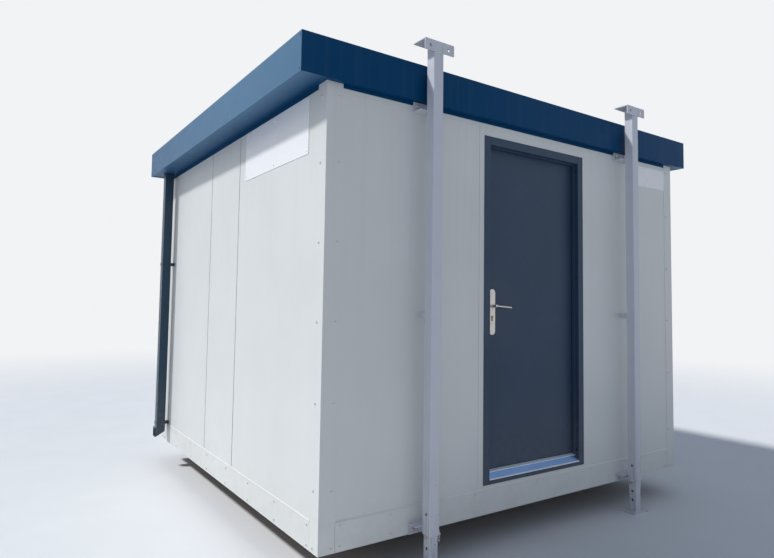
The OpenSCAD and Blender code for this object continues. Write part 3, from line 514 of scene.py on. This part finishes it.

# Eaves bands, fascias and their cappings: folded steel in one dark navy coat, mitred and riveted at
# the corners. A painted pale blue sheen for reflected sky light lies on the ends and out under the eaves.

navy_steel = coated_steel("navy_coated_steel", "#04426B", 0.36, shine=0.06, rain=0.05, dust=0.22, painted_sheen=0.6)
dress(navy_steel, "eaves_bands", "fascia_long", "fascia_ends", "soffit_boards")
ease(0.8, "eaves_bands", "fascia_long", "fascia_ends")
rivet = fastener(14, head=(4.2, 0.9), crown=(2.2, 1.1), washer=(4.4, 0.3))
eaves_low, eaves_high = reach("fascia_long")
rivet_pitch, corner_inset, cap_middle = 360, 18, 22
rivets = []
for height in (eaves_low.z + 16, eaves_high.z - 20):
    for y in (eaves_low.y + corner_inset, eaves_high.y - corner_inset):
        rivets.append((at(eaves_low.x, y, height), left_way))
        rivets.append((at(eaves_high.x, y, height), right_way))
for x in range(-120, round(eaves_high.x), rivet_pitch):
    for y in (eaves_low.y + cap_middle, eaves_high.y - cap_middle):
        rivets.append((at(x, y, eaves_high.z), up_way))
for y in range(220, round(body_dep), rivet_pitch):
    for x in (eaves_low.x + cap_middle, eaves_high.x - cap_middle):
        rivets.append((at(x, y, eaves_high.z), up_way))
fasten("fascia_rivets", rivets, "cabin", navy_steel, rivet)

# Ceiling: white vinyl-faced board screwed up to the roof's joists, over the room and the walls.
# The facing is flat and matt, with a fine stipple that breaks up the light.

ceiling_board = two_tone("white_vinyl_faced_board", ("#ECECE8", "#E2E1DB"), 830, (0.58, 0.66),
                         (4, 4, 4), 0.3)
dress(ceiling_board, "ceiling_panel")

# Roof: tapered softwood joists under one profiled steel sheet, which falls to the box gutter. Its grey
# coat is dull with dust, and painted hex screws on wide washers hold it along the tops of its ribs.

dress(softwood("sawn_softwood_roof_joists", (500, 14, 14)), "roof_joists")
roof_steel = coated_steel("grey_coated_roof_sheet", "#6A6F74", 0.45, rain=0.05, dust=0.25)
dress(roof_steel, "roof_sheet")
slope_x, slope_z = -20, 2430
slope_end = reach("roof_joists")[1]
rib_up, rib_first, rib_pitch, rib_count, screw_pitch = 32, 9, 200, 15, 580
fall = math.atan((slope_end.z - slope_z) / (slope_end.x - slope_x))
sheet_way = Vector((-math.sin(fall), 0, math.cos(fall)))
roof_screws = []
for i in range(rib_count):
    for x in range(60, round(body_len), screw_pitch):
        z = slope_z + (x - slope_x) * math.tan(fall) + rib_up / math.cos(fall)
        roof_screws.append((at(x, rib_first + i * rib_pitch, z), sheet_way))
roof_screw = fastener(6, head=(4.6, 3.4), crown=(3.6, 1.0), washer=(9.5, 2.4))
fasten("roof_screws", roof_screws, "cabin", roof_steel, roof_screw)

# Gutter: a folded box of galvanised sheet behind the end fascia. The zinc has frosted spangles
# about 15 mm across, each a little lighter or darker and more or less matt.

gutter_steel, tree, coords, place, facing = begin("galvanised_sheet")
spangle = add(tree, "ShaderNodeTexVoronoi", {0: coords, "Scale": cells(15)}).outputs["Color"]
cell = add(tree, "ShaderNodeSeparateXYZ", {0: spangle}).outputs[0]
haze = add(tree, "ShaderNodeTexNoise", {0: coords, "Scale": cells(170), "Detail": 5.0}).outputs[0]
zinc = add(tree, "ShaderNodeMix", {0: cell, 6: linear("#8E9499"), 7: linear("#B4B9BD")},
           data_type="RGBA").outputs[2]
white_rust = add(tree, "ShaderNodeMapRange", {0: haze, 1: 0.52, 2: 0.7, 3: 0.0, 4: 0.6}).outputs[0]
colour = add(tree, "ShaderNodeMix", {0: white_rust, 6: zinc, 7: linear("#C6C8C8")},
             data_type="RGBA").outputs[2]
rough = add(tree, "ShaderNodeMapRange", {0: cell, 3: 0.38, 4: 0.6}).outputs[0]
close(tree, {"Base Color": colour, "Roughness": rough, "Metallic": 1.0}, [(cell, 0.0001)])
dress(gutter_steel, "gutter")

# Downpipe: a square extruded plastic pipe in navy, with a shoe at its foot and two screwed brackets.
# The plastic is smooth and satin with fine lines down it from the die, and dust near the ground.

pipe_plastic, tree, coords, place, facing = begin("navy_extruded_plastic")
drawn = add(tree, "ShaderNodeMapping", {0: coords, "Scale": (cells(2.4), cells(2.4), cells(670))}).outputs[0]
die_lines = add(tree, "ShaderNodeTexNoise", {0: drawn, "Scale": 1.0, "Detail": 2.0}).outputs[0]
faded = add(tree, "ShaderNodeTexNoise", {0: coords, "Scale": cells(330), "Detail": 4.0}).outputs[0]
dusty = add(tree, "ShaderNodeTexNoise", {0: coords, "Scale": cells(33), "Detail": 6.0}).outputs[0]
low = add(tree, "ShaderNodeMapRange", {0: place[2], 1: 0.2, 2: 0.8, 3: 0.32, 4: 0.04}).outputs[0]
dirt = add(tree, "ShaderNodeMath", {0: dusty, 1: low}, operation="MULTIPLY").outputs[0]
base = add(tree, "ShaderNodeMix", {0: faded, 6: linear("#17354B"), 7: linear("#204158")},
           data_type="RGBA").outputs[2]
colour = add(tree, "ShaderNodeMix", {0: dirt, 6: base, 7: linear("#A99F8D")}, data_type="RGBA").outputs[2]
rough = add(tree, "ShaderNodeMapRange", {0: dusty, 1: 0.3, 2: 0.7, 3: 0.30, 4: 0.46}).outputs[0]
close(tree, {"Base Color": colour, "Roughness": rough, "Specular IOR Level": 0.3}, [(die_lines, 0.0001)])
dress(pipe_plastic, "downpipe", "downpipe_shoe", "downpipe_brackets")

# Zinc plating is a bright cool grey metal, clouded with dull patches.
zinc_plate = two_tone("zinc_plated_steel", ("#B4B7BA", "#CDCDC8"), 22, (0.34, 0.55), (1.1, 1.1, 1.1), 0.04,
                      metallic=1.0)
strap_low, strap_high = reach("downpipe_brackets")
strap_middle, ear_middle, ear_thick = 12.5, 6.5, 3
bracket_screws = [(at(-ear_thick, y, z), left_way)
                  for z in (strap_low.z + strap_middle, strap_high.z - strap_middle)
                  for y in (strap_low.y + ear_middle, strap_high.y - ear_middle)]
pan_head = fastener(16, head=(3.8, 1.2), crown=(2.4, 1.0), washer=(4.0, 0.2))
fasten("bracket_screws", bracket_screws, "cabin", zinc_plate, pan_head)

# Door frame: folded steel sections in anthracite powder coat, with a step and a stop in the reveal.
# The coat has a fine peel, satin and even, with dust near the floor and rub marks by the handle.

plates_low, plates_high = reach("door_backplates")
leaf_low, leaf_high = reach("door_leaf")
handle_x = (plates_low.x + plates_high.x) / 2
rubbed_z = 1180
handle_place = at(handle_x, leaf_low.y, rubbed_z)


def powder_coat(name, colour):
    """Powder-coated steel with a fine peel, floor dust, and greasy rub marks near the handle."""
    material, tree, coords, place, facing = begin(name)
    broad = add(tree, "ShaderNodeTexNoise", {0: coords, "Scale": cells(450), "Detail": 3.0}).outputs[0]
    patch = add(tree, "ShaderNodeTexNoise",
                {0: coords, "Scale": cells(38), "Detail": 6.0, "Roughness": 0.6}).outputs[0]
    # Real peel is about 1.5 mm from dimple to dimple, drawn at 2.5 mm.
    peel = add(tree, "ShaderNodeTexNoise", {0: coords, "Scale": cells(2.5), "Detail": 1.0}).outputs[0]
    drawn = add(tree, "ShaderNodeMapping", {
        0: coords, "Rotation": (0.0, 0.35, 0.0), "Scale": (cells(110), cells(110), cells(6.2))}).outputs[0]
    scuffs = add(tree, "ShaderNodeTexNoise", {0: drawn, "Scale": 1.0, "Detail": 3.0}).outputs[0]
    tint = add(tree, "ShaderNodeMapRange", {0: broad, 1: 0.3, 2: 0.7, 3: 0.92, 4: 1.08}).outputs[0]
    shade = add(tree, "ShaderNodeVectorMath", {0: linear(colour)[:3], "Scale": tint},
                operation="SCALE").outputs[0]
    low = add(tree, "ShaderNodeMapRange", {0: place[2], 1: 0.38, 2: 0.95, 3: 0.20, 4: 0.0},
              interpolation_type="SMOOTHSTEP").outputs[0]
    dusty = add(tree, "ShaderNodeMath", {0: low, 1: patch}, operation="MULTIPLY").outputs[0]
    kicked = add(tree, "ShaderNodeMapRange", {0: scuffs, 1: 0.70, 2: 0.78}).outputs[0]
    kicked = add(tree, "ShaderNodeMath", {0: kicked, 1: low}, operation="MULTIPLY").outputs[0]
    marks = add(tree, "ShaderNodeMath", {0: dusty, 1: kicked}, operation="ADD", use_clamp=True).outputs[0]
    skin = add(tree, "ShaderNodeMix",
               {0: marks, 6: shade, 7: linear("#A29A8C")}, data_type="RGBA").outputs[2]
    away = add(tree, "ShaderNodeVectorMath",
               {0: coords, 1: handle_place}, operation="DISTANCE").outputs["Value"]
    near = add(tree, "ShaderNodeMapRange", {0: away, 1: 0.06, 2: 0.3, 3: 0.16, 4: 0.0},
               interpolation_type="SMOOTHSTEP").outputs[0]
    satin = add(tree, "ShaderNodeMapRange", {0: patch, 1: 0.3, 2: 0.7, 3: 0.42, 4: 0.52}).outputs[0]
    satin = add(tree, "ShaderNodeMath", {0: satin, 1: near}, operation="SUBTRACT").outputs[0]
    close(tree, {"Base Color": skin, "Roughness": satin, "Specular IOR Level": 0.28},
          [(broad, 0.0015), (peel, 0.00008)])
    return material


door_steel = powder_coat("anthracite_powder_coat", "#31445B")
door_parts = ("door_jamb_left", "door_jamb_right", "door_head", "door_sill", "door_leaf")
dress(door_steel, *door_parts)
ease(1.2, *door_parts)

# Reveal caps: moulded plastic caps pushed into the frame's fixing holes, three up each side.
# The plastic is nearly black and matt, with a faint moulded grain.

cap_plastic = two_tone("black_moulded_plastic", ("#15181C", "#23272C"), 25, (0.54, 0.64),
                       (1.7, 1.7, 1.7), 0.08)
stop_width, cap_depth, cap_heights = 8, 15, (262, 1403, 2125)
reveal_left = reach("door_jamb_left")[1].x - stop_width
reveal_right = reach("door_jamb_right")[0].x + stop_width
caps = [(at(x, cap_depth, z), way)
        for x, way in ((reveal_right, left_way), (reveal_left, right_way)) for z in cap_heights]
round_cap = fastener(24, head=(9.2, 0.5), crown=(7.5, 0.6), washer=(9.5, 0.4))
fasten("reveal_caps", caps, "cabin", cap_plastic, round_cap)

# Door seal: a round extruded rubber seal, pushed into the back of the stop all the way round.
# The closed leaf presses on it, and its ends meet in the lower corner on the handle's side.


def bars_tree():
    """A round bar along every line, with closed ends."""
    tree, given = begin_tree("round_bars", (
        ("Lines", "Geometry"), ("Bar Radius", "Float"), ("Sides", "Int"), ("Finish", "Material")), "Bars")
    lines = add(tree, "GeometryNodeMeshToCurve", {0: given["Lines"]}).outputs[0]
    ring = add(tree, "GeometryNodeCurvePrimitiveCircle",
               {"Resolution": given["Sides"], "Radius": given["Bar Radius"]}).outputs[0]
    swept = add(tree, "GeometryNodeCurveToMesh", {0: lines, 1: ring, "Fill Caps": True}).outputs[0]
    smooth = add(tree, "GeometryNodeSetShadeSmooth", {0: swept}).outputs[0]
    return close_tree(tree, smooth, given["Finish"])


round_bars = bars_tree()


def run_bars(name, paths, radius, body, finish, sides=10):
    """Round bars along the paths, each a list of places in metres."""
    points, edges = [], []
    for path in paths:
        edges += [(len(points) + i, len(points) + i + 1) for i in range(len(path) - 1)]
        points += path
    mesh = bpy.data.meshes.new(name)
    mesh.from_pydata(points, edges, [])
    return grow(name, mesh, round_bars, body, {"Bar Radius": radius, "Sides": sides, "Finish": finish})


seal_y, seal_left, seal_right = leaf_low.y - 2.5, reveal_left + 3, reveal_right - 3
seal_sunk = 5
lower, upper = reach("door_threshold")[1].z - seal_sunk, reach("door_head")[0].z + seal_sunk
seal_ring = [at(x, seal_y, z) for x, z in (
    (seal_left, lower), (seal_left, upper), (seal_right, upper), (seal_right, lower), (seal_left, lower))]
run_bars("door_seal", [seal_ring], 0.0023, "cabin", rubber_and_joint_shade)

# Threshold: an extruded anodised aluminium sill with a rounded lip, a plain slope and a ridge.
# Fine brush lines run along it. By the way each face turns, its flat top is a pale blue-white and its slope a
# darker blue-grey, as painted shade and sky reflection, and its lip and ridge are painted near white as
# highlights.

sill_aluminium, tree, coords, place, facing = begin("anodised_aluminium")
drawn = add(tree, "ShaderNodeMapping", {0: coords, "Scale": (cells(330), cells(2), cells(2))}).outputs[0]
lines = add(tree, "ShaderNodeTexNoise", {0: drawn, "Scale": 1.0, "Detail": 1.0}).outputs[0]
scuff = add(tree, "ShaderNodeTexNoise", {0: coords, "Scale": cells(83), "Detail": 5.0}).outputs[0]
trodden = add(tree, "ShaderNodeMapRange", {0: scuff, 1: 0.45, 2: 0.7, 3: 0.0, 4: 0.35}).outputs[0]
# The slope, found by the way it faces, gets a darker blue-grey as painted shade and sky reflection.
slope_shade_mask = add(tree, "ShaderNodeMath", {0: facing[1], 1: -0.745, 2: 0.12}, operation="COMPARE").outputs[0]
bright = add(tree, "ShaderNodeMix", {0: trodden, 6: linear("#E4ECF8"), 7: linear("#C6CCD4")},
             data_type="RGBA").outputs[2]
colour = add(tree, "ShaderNodeMix", {0: slope_shade_mask, 6: bright, 7: linear("#6285B4")},
             data_type="RGBA").outputs[2]
rough = add(tree, "ShaderNodeMapRange", {0: scuff, 1: 0.4, 2: 0.7, 3: 0.30, 4: 0.42}).outputs[0]
metal = add(tree, "ShaderNodeMapRange", {0: slope_shade_mask, 3: 0.1, 4: 0.8}).outputs[0]
close(tree, {"Base Color": colour, "Roughness": rough, "Metallic": metal}, [(lines, 0.000004)])
# The near-white bars along the lip and ridge are painted highlights.
highlight_aluminium = two_tone("aluminium_painted_highlight", ("#E2EAF4", "#F4F7FB"), 30, (0.34, 0.46),
                            (200, 5, 5), 0.01, metallic=0.45)
dress(sill_aluminium, "door_threshold")
ease(0.8, "door_threshold")
sill_z, bar_inset = reach("door_threshold")[0].z, 2
for name, y, z, radius in (("lip", -4.5, 2.5, 2.5), ("ridge", 26, 37, 2.2)):
    bar = [at(x, y, sill_z + z) for x in (reveal_left + bar_inset, reveal_right - bar_inset)]
    run_bars(f"threshold_{name}", [bar], radius / 1000, "cabin", highlight_aluminium)

# Hinges: three zinc-plated butt hinges on the inside, with their pins on one axis.
# Each plate is held to the leaf or the frame by three countersunk screws.

dress(zinc_plate, "door_hinge_leaves", "door_hinge_pins")
hinge_low, hinge_high = reach("door_hinge_leaves")
hinge_x = (reach("door_hinge_pins")[0].x + hinge_high.x) / 2
plate_y, plate_off, hinge_tall, screw_rises = leaf_high.y + 3, 26.5, 100, (16, 50, 84)
last_hinge = hinge_high.z - hinge_tall
hinge_lows = (hinge_low.z, (hinge_low.z + last_hinge) / 2, last_hinge)
flat_screw = fastener(16, head=(4.5, 0.3), crown=(2.5, 0.3), washer=(4.6, 0.2))
for body, side in (("door", -1), ("cabin", 1)):
    spots = [(at(hinge_x + side * plate_off, plate_y, low + rise), back_way)
             for low in hinge_lows for rise in screw_rises]
    fasten(f"hinge_screws_{body}", spots, body, zinc_plate, flat_screw)

# Handle: satin stainless long plates and levers with a straight grain, held by a screw at each end.
# The lock cylinder is brass, with a thin dark plastic board on its face as painted shade for the keyway.

# The satin grain makes a soft bright band along each plate. It is 0.1 mm wide, drawn at 0.7 mm to show.
satin_steel = two_tone("satin_stainless_steel", ("#CBC9C6", "#B2B0AC"), 29, (0.24, 0.38), (0.7, 0.7, 83),
                       0.05, metallic=1.0)
dress(satin_steel, "door_backplates", "lever_handle")
# Brushed brass is a soft dull yellow, browner where it isn't rubbed.
cylinder_brass = two_tone("brushed_brass", ("#B3A284", "#78694F"), 8, (0.36, 0.44), (8, 8, 8), 0.05,
                          metallic=1.0)
dress(cylinder_brass, "lock_cylinder")
screw_inset = 24
handle_screws = [(at(handle_x, y, z), way)
                 for y, way in ((plates_low.y, front_way), (plates_high.y, back_way))
                 for z in (plates_high.z - screw_inset, plates_low.z + screw_inset)]
plate_screw = fastener(16, head=(4.5, 0.8), crown=(2.5, 0.6), washer=(4.6, 0.2))
fasten("handle_screws", handle_screws, "door", satin_steel, plate_screw)
lock_low, lock_high = reach("lock_cylinder")
lock_radius = 8.5
lock_z = lock_high.z - lock_radius
plugs = [(at(handle_x, lock_low.y, lock_z), front_way), (at(handle_x, lock_high.y, lock_z), back_way)]
plug = fastener(24, head=(6.0, 0.3), crown=(5.7, 0.2), washer=(6.2, 0.2))
fasten("lock_plugs", plugs, "door", cylinder_brass, plug)
# Each keyway is a thin dark board on the plug's face, painted shade for the slot.
key_wide, key_high, key_deep = 1.1, 4.2, 1.0
for name, y in (("keyway_shade_outside", lock_low.y - key_deep), ("keyway_shade_inside", lock_high.y)):
    board(name, at(handle_x - key_wide, y, lock_z - key_high),
          at(handle_x + key_wide, y + key_deep, lock_z + key_high),
          0.0002, "door", cap_plastic)

# Sign boards: two white composite sheets 3 mm thick, left blank, flat against the walls.
# Screws with white caps hold them near their edges, and a thin film gives them a soft gloss.

sign_sheet = two_tone("white_composite_sheet", ("#F8F9FA", "#F1F2F3"), 250, (0.25, 0.31),
                      (2.4, 2.4, 2.4), 0.008)
sign_thick, sign_inset, side_middle = 3, 22, 642
side_y, side_z, front_x, front_z = (193, 1092), (1985, 2292), (2526, 2958), (2115, 2265)
for name, low, high in (
    ("sign_board_left", (-sign_thick, side_y[0], side_z[0]), (0, side_y[1], side_z[1])),
    ("sign_board_front", (front_x[0], -sign_thick, front_z[0]), (front_x[1], 0, front_z[1])),
):
    board(name, at(*low), at(*high), 0.0006, "cabin", sign_sheet)
sign_caps = [(at(-sign_thick, y, z), left_way)
             for y in (side_y[0] + sign_inset, side_middle, side_y[1] - sign_inset)
             for z in (side_z[0] + sign_inset, side_z[1] - sign_inset)]
sign_caps += [(at(x, -sign_thick, z), front_way)
              for x in (front_x[0] + sign_inset, front_x[1] - sign_inset)
              for z in (front_z[0] + sign_inset, front_z[1] - sign_inset)]
screw_cap = fastener(20, head=(5.0, 1.2), crown=(2.8, 1.4), washer=(6.5, 0.6))
fasten("sign_caps", sign_caps, "cabin", sign_sheet, screw_cap)

# Jack legs: square steel tubes in a light lilac-grey paint, with lifting angles across their tops.
# The paint is chipped to rust low down and by the chains, and water has left brown runs.

leg_paint, tree, coords, place, facing = begin("lilac_grey_sprayed_steel")
broad = add(tree, "ShaderNodeTexNoise", {0: coords, "Scale": cells(200), "Detail": 4.0}).outputs[0]
spray = add(tree, "ShaderNodeTexNoise", {0: coords, "Scale": cells(4), "Detail": 3.0}).outputs[0]
chipping = add(tree, "ShaderNodeTexNoise",
               {0: coords, "Scale": cells(13.3), "Detail": 8.0, "Roughness": 0.68}).outputs[0]
drawn = add(tree, "ShaderNodeMapping",
            {0: coords, "Scale": (cells(10.5), cells(10.5), cells(200))}).outputs[0]
runs = add(tree, "ShaderNodeTexNoise", {0: drawn, "Scale": 1.0, "Detail": 4.0}).outputs[0]
low = add(tree, "ShaderNodeMapRange", {0: place[2], 1: 0.15, 2: 0.75, 3: 1.0, 4: 0.0},
          interpolation_type="SMOOTHSTEP").outputs[0]
high = add(tree, "ShaderNodeMapRange", {0: place[2], 1: 2.55, 2: 2.78, 3: 0.0, 4: 0.7},
           interpolation_type="SMOOTHSTEP").outputs[0]
hard_used = add(tree, "ShaderNodeMath", {0: low, 1: high}, operation="ADD", use_clamp=True).outputs[0]
bias = add(tree, "ShaderNodeMath",
           {0: hard_used, 1: 0.085, 2: chipping}, operation="MULTIPLY_ADD").outputs[0]
chipped = add(tree, "ShaderNodeMapRange", {0: bias, 1: 0.715, 2: 0.735}).outputs[0]
stain = add(tree, "ShaderNodeMapRange", {0: runs, 1: 0.52, 2: 0.74, 3: 0.0, 4: 0.55}).outputs[0]
stain = add(tree, "ShaderNodeMath", {0: stain, 1: hard_used}, operation="MULTIPLY").outputs[0]
tint = add(tree, "ShaderNodeMix", {0: broad, 6: linear("#C6C9D3"), 7: linear("#D6D8E0")},
           data_type="RGBA").outputs[2]
stained = add(tree, "ShaderNodeMix", {0: stain, 6: tint, 7: linear("#9C8468")}, data_type="RGBA").outputs[2]
colour = add(tree, "ShaderNodeMix",
             {0: chipped, 6: stained, 7: linear("#6A4630")}, data_type="RGBA").outputs[2]
satin = add(tree, "ShaderNodeMapRange", {0: broad, 1: 0.3, 2: 0.7, 3: 0.40, 4: 0.52}).outputs[0]
rough = add(tree, "ShaderNodeMix", {0: chipped, 2: satin, 3: 0.88}).outputs[0]
hollow = add(tree, "ShaderNodeMath", {0: chipped, 1: -1.0}, operation="MULTIPLY").outputs[0]
close(tree, {"Base Color": colour, "Roughness": rough}, [(hollow, 0.0003), (spray, 0.00012)])
leg_ends = {}
for end, inwards in (("front_left", 1), ("front_right", 1), ("back_left", -1), ("back_right", -1)):
    leg_low, leg_high = reach(f"jack_leg_{end}")
    leg_ends[end] = (*((leg_low + leg_high) / 2).xy, inwards)
dress(leg_paint, "leg_tubes", "lifting_angles", "leg_fixings", *(f"jack_leg_{end}" for end in leg_ends))
ease(0.8, "lifting_angles", "leg_fixings")


def on_leg(end, x, y, z):
    """A place in millimetres from a leg's own axis, y towards the wall, z from the wall bottoms."""
    leg_x, leg_y, inwards = leg_ends[end]
    return at(leg_x + x, leg_y + y * inwards, z)


# Welds: steel fillets join the tubes to their lifting and fixing angles, and the inner legs to their
# feet. Each was laid by hand as a row of ripples, and painted over with the rest.


def welds_tree():
    """Overlapping ripples of weld along every seam."""
    tree, given = begin_tree("weld_ripples", (
        ("Seams", "Geometry"), ("Bead Radius", "Float"), ("Ripple Pitch", "Float"), ("Seed", "Int"),
        ("Finish", "Material")), "Welds")
    lines = add(tree, "GeometryNodeMeshToCurve", {0: given["Seams"]}).outputs[0]
    stops = add(tree, "GeometryNodeCurveToPoints",
                {0: lines, "Length": given["Ripple Pitch"]}, mode="LENGTH")
    ripple = add(tree, "GeometryNodeMeshIcoSphere",
                 {"Radius": given["Bead Radius"], "Subdivisions": 2}).outputs[0]
    smooth = add(tree, "GeometryNodeSetShadeSmooth", {0: ripple}).outputs[0]
    uneven = add(tree, "FunctionNodeRandomValue", {2: 0.85, 3: 1.2, "Seed": given["Seed"]},
                 data_type="FLOAT").outputs[1]
    placed = add(tree, "GeometryNodeInstanceOnPoints", {
        "Points": stops.outputs["Points"], "Instance": smooth, "Rotation": stops.outputs["Rotation"],
        "Scale": uneven}).outputs[0]
    return close_tree(tree, placed, given["Finish"])


weld_ripples = welds_tree()


def weld(name, seams, body, radius=2.6, pitch=3.0):
    """Weld along the seams, each a pair of places in metres, with its sizes in millimetres."""
    mesh = bpy.data.meshes.new(name)
    mesh.from_pydata([place for seam in seams for place in seam],
                     [(2 * i, 2 * i + 1) for i in range(len(seams))], [])
    return grow(name, mesh, weld_ripples, body, {
        "Bead Radius": radius / 1000, "Ripple Pitch": pitch / 1000, "Seed": 11, "Finish": leg_paint})


half_tube, angle_thick, fix_high, end_gap = 32.5, 6, 58, 4
lift_low, lift_top = reach("lifting_angles")[0].z, reach("lifting_angles")[1].z - angle_thick
upper_fix = reach("leg_fixings")[1].z - fix_high
run = half_tube - end_gap
cabin_seams = []
for end in leg_ends:
    for x in (-half_tube, half_tube):
        cabin_seams.append((on_leg(end, x, 1 - half_tube, lift_low + 2),
                            on_leg(end, x, 1 - half_tube, lift_top - 2)))
        cabin_seams.append((on_leg(end, x, -run, lift_top), on_leg(end, x, run, lift_top)))
    for y, z in ((half_tube, lift_top), (-half_tube, lift_low), (half_tube, fix_high),
                 (half_tube, fix_high - angle_thick), (half_tube, upper_fix + angle_thick),
                 (half_tube, upper_fix)):
        cabin_seams.append((on_leg(end, -run, y, z), on_leg(end, run, y, z)))
weld("leg_welds", cabin_seams, "cabin")
half_leg, foot_thick = 27.5, 10
foot_top, flat = reach("jack_leg_front_left")[0].z + foot_thick, half_leg - 5
for end in leg_ends:
    ring = [on_leg(end, x, y, foot_top) for x, y in (
        (-half_leg, -flat), (-half_leg, flat), (-flat, half_leg), (flat, half_leg),
        (half_leg, flat), (half_leg, -flat), (flat, -half_leg), (-flat, -half_leg))]
    weld(f"foot_welds_{end}", list(zip(ring, ring[1:] + ring[:1])), f"leg_{end}")

# Leg bolts: zinc-plated hex bolts on round washers, two through each fixing angle.
# The lower ones go into the chassis rails, and the upper ones into the wall tops under the eaves.

hex_bolt = fastener(6, head=(9.8, 5.6), crown=(8.2, 1.2), washer=(12.5, 2.2))
fix_face, bolt_half, bolt_heights = 91.5, 48, (22, 2292)
bolts = [(on_leg(end, x, fix_face, z), front_way * inwards)
         for end, (_, _, inwards) in leg_ends.items() for x in (-bolt_half, bolt_half) for z in bolt_heights]
fasten("leg_bolts", bolts, "cabin", zinc_plate, hex_bolt)

# Leg pins: zinc-plated steel pins through the inner legs, on which the outer tubes stand.
# A spring clip of bent wire keeps each one in, with a split ring to pull it out by.

dress(zinc_plate, *(f"leg_pin_{end}" for end in leg_ends))


def smooth_path(points, steps=6):
    """A smooth line through the points."""
    made = []
    last = len(points) - 1
    for i in range(last):
        before, after = points[max(i - 1, 0)], points[min(i + 2, last)]
        start, finish = points[i], points[i + 1]
        for step in range(steps):
            t = step / steps
            made.append(0.5 * (2 * start + (finish - before) * t
                               + (2 * before - 5 * start + 4 * finish - after) * t * t
                               + (3 * start - before - 3 * finish + after) * t ** 3))
    return made + [points[-1]]


pin_z = (reach("leg_pin_front_left")[0].z + reach("leg_pin_front_left")[1].z) / 2
clip_x, clip_wire, ring_wire, ring_radius, ring_drop, ring_steps = 51, 1.7, 1.4, 11, 30, 24
ring_back, ring_out, ring_along = 5, 0.5, 0.85
clip_bends = [(0, 24), (0, 12), (0, 0), (0, -12), (-2, -18), (-7, -21), (-11, -17), (-10.5, -9),
              (-12.5, 0), (-10.5, 9), (-7, 14), (-10, 20)]
for end in leg_ends:
    clip = smooth_path([on_leg(end, clip_x, y, pin_z + z) for y, z in clip_bends])
    ring = []
    for i in range(ring_steps + 1):
        turn = math.tau * i / ring_steps
        across, up = ring_radius * math.sin(turn), ring_radius * math.cos(turn)
        ring.append(on_leg(end, clip_x + across * ring_out, across * ring_along - ring_back,
                           pin_z - ring_drop + up))
    for name, path, wire in (("clip", clip, clip_wire), ("ring", ring, ring_wire)):
        run_bars(f"pin_{name}_{end}", [path], wire / 1000, f"leg_{end}", zinc_plate, sides=8)
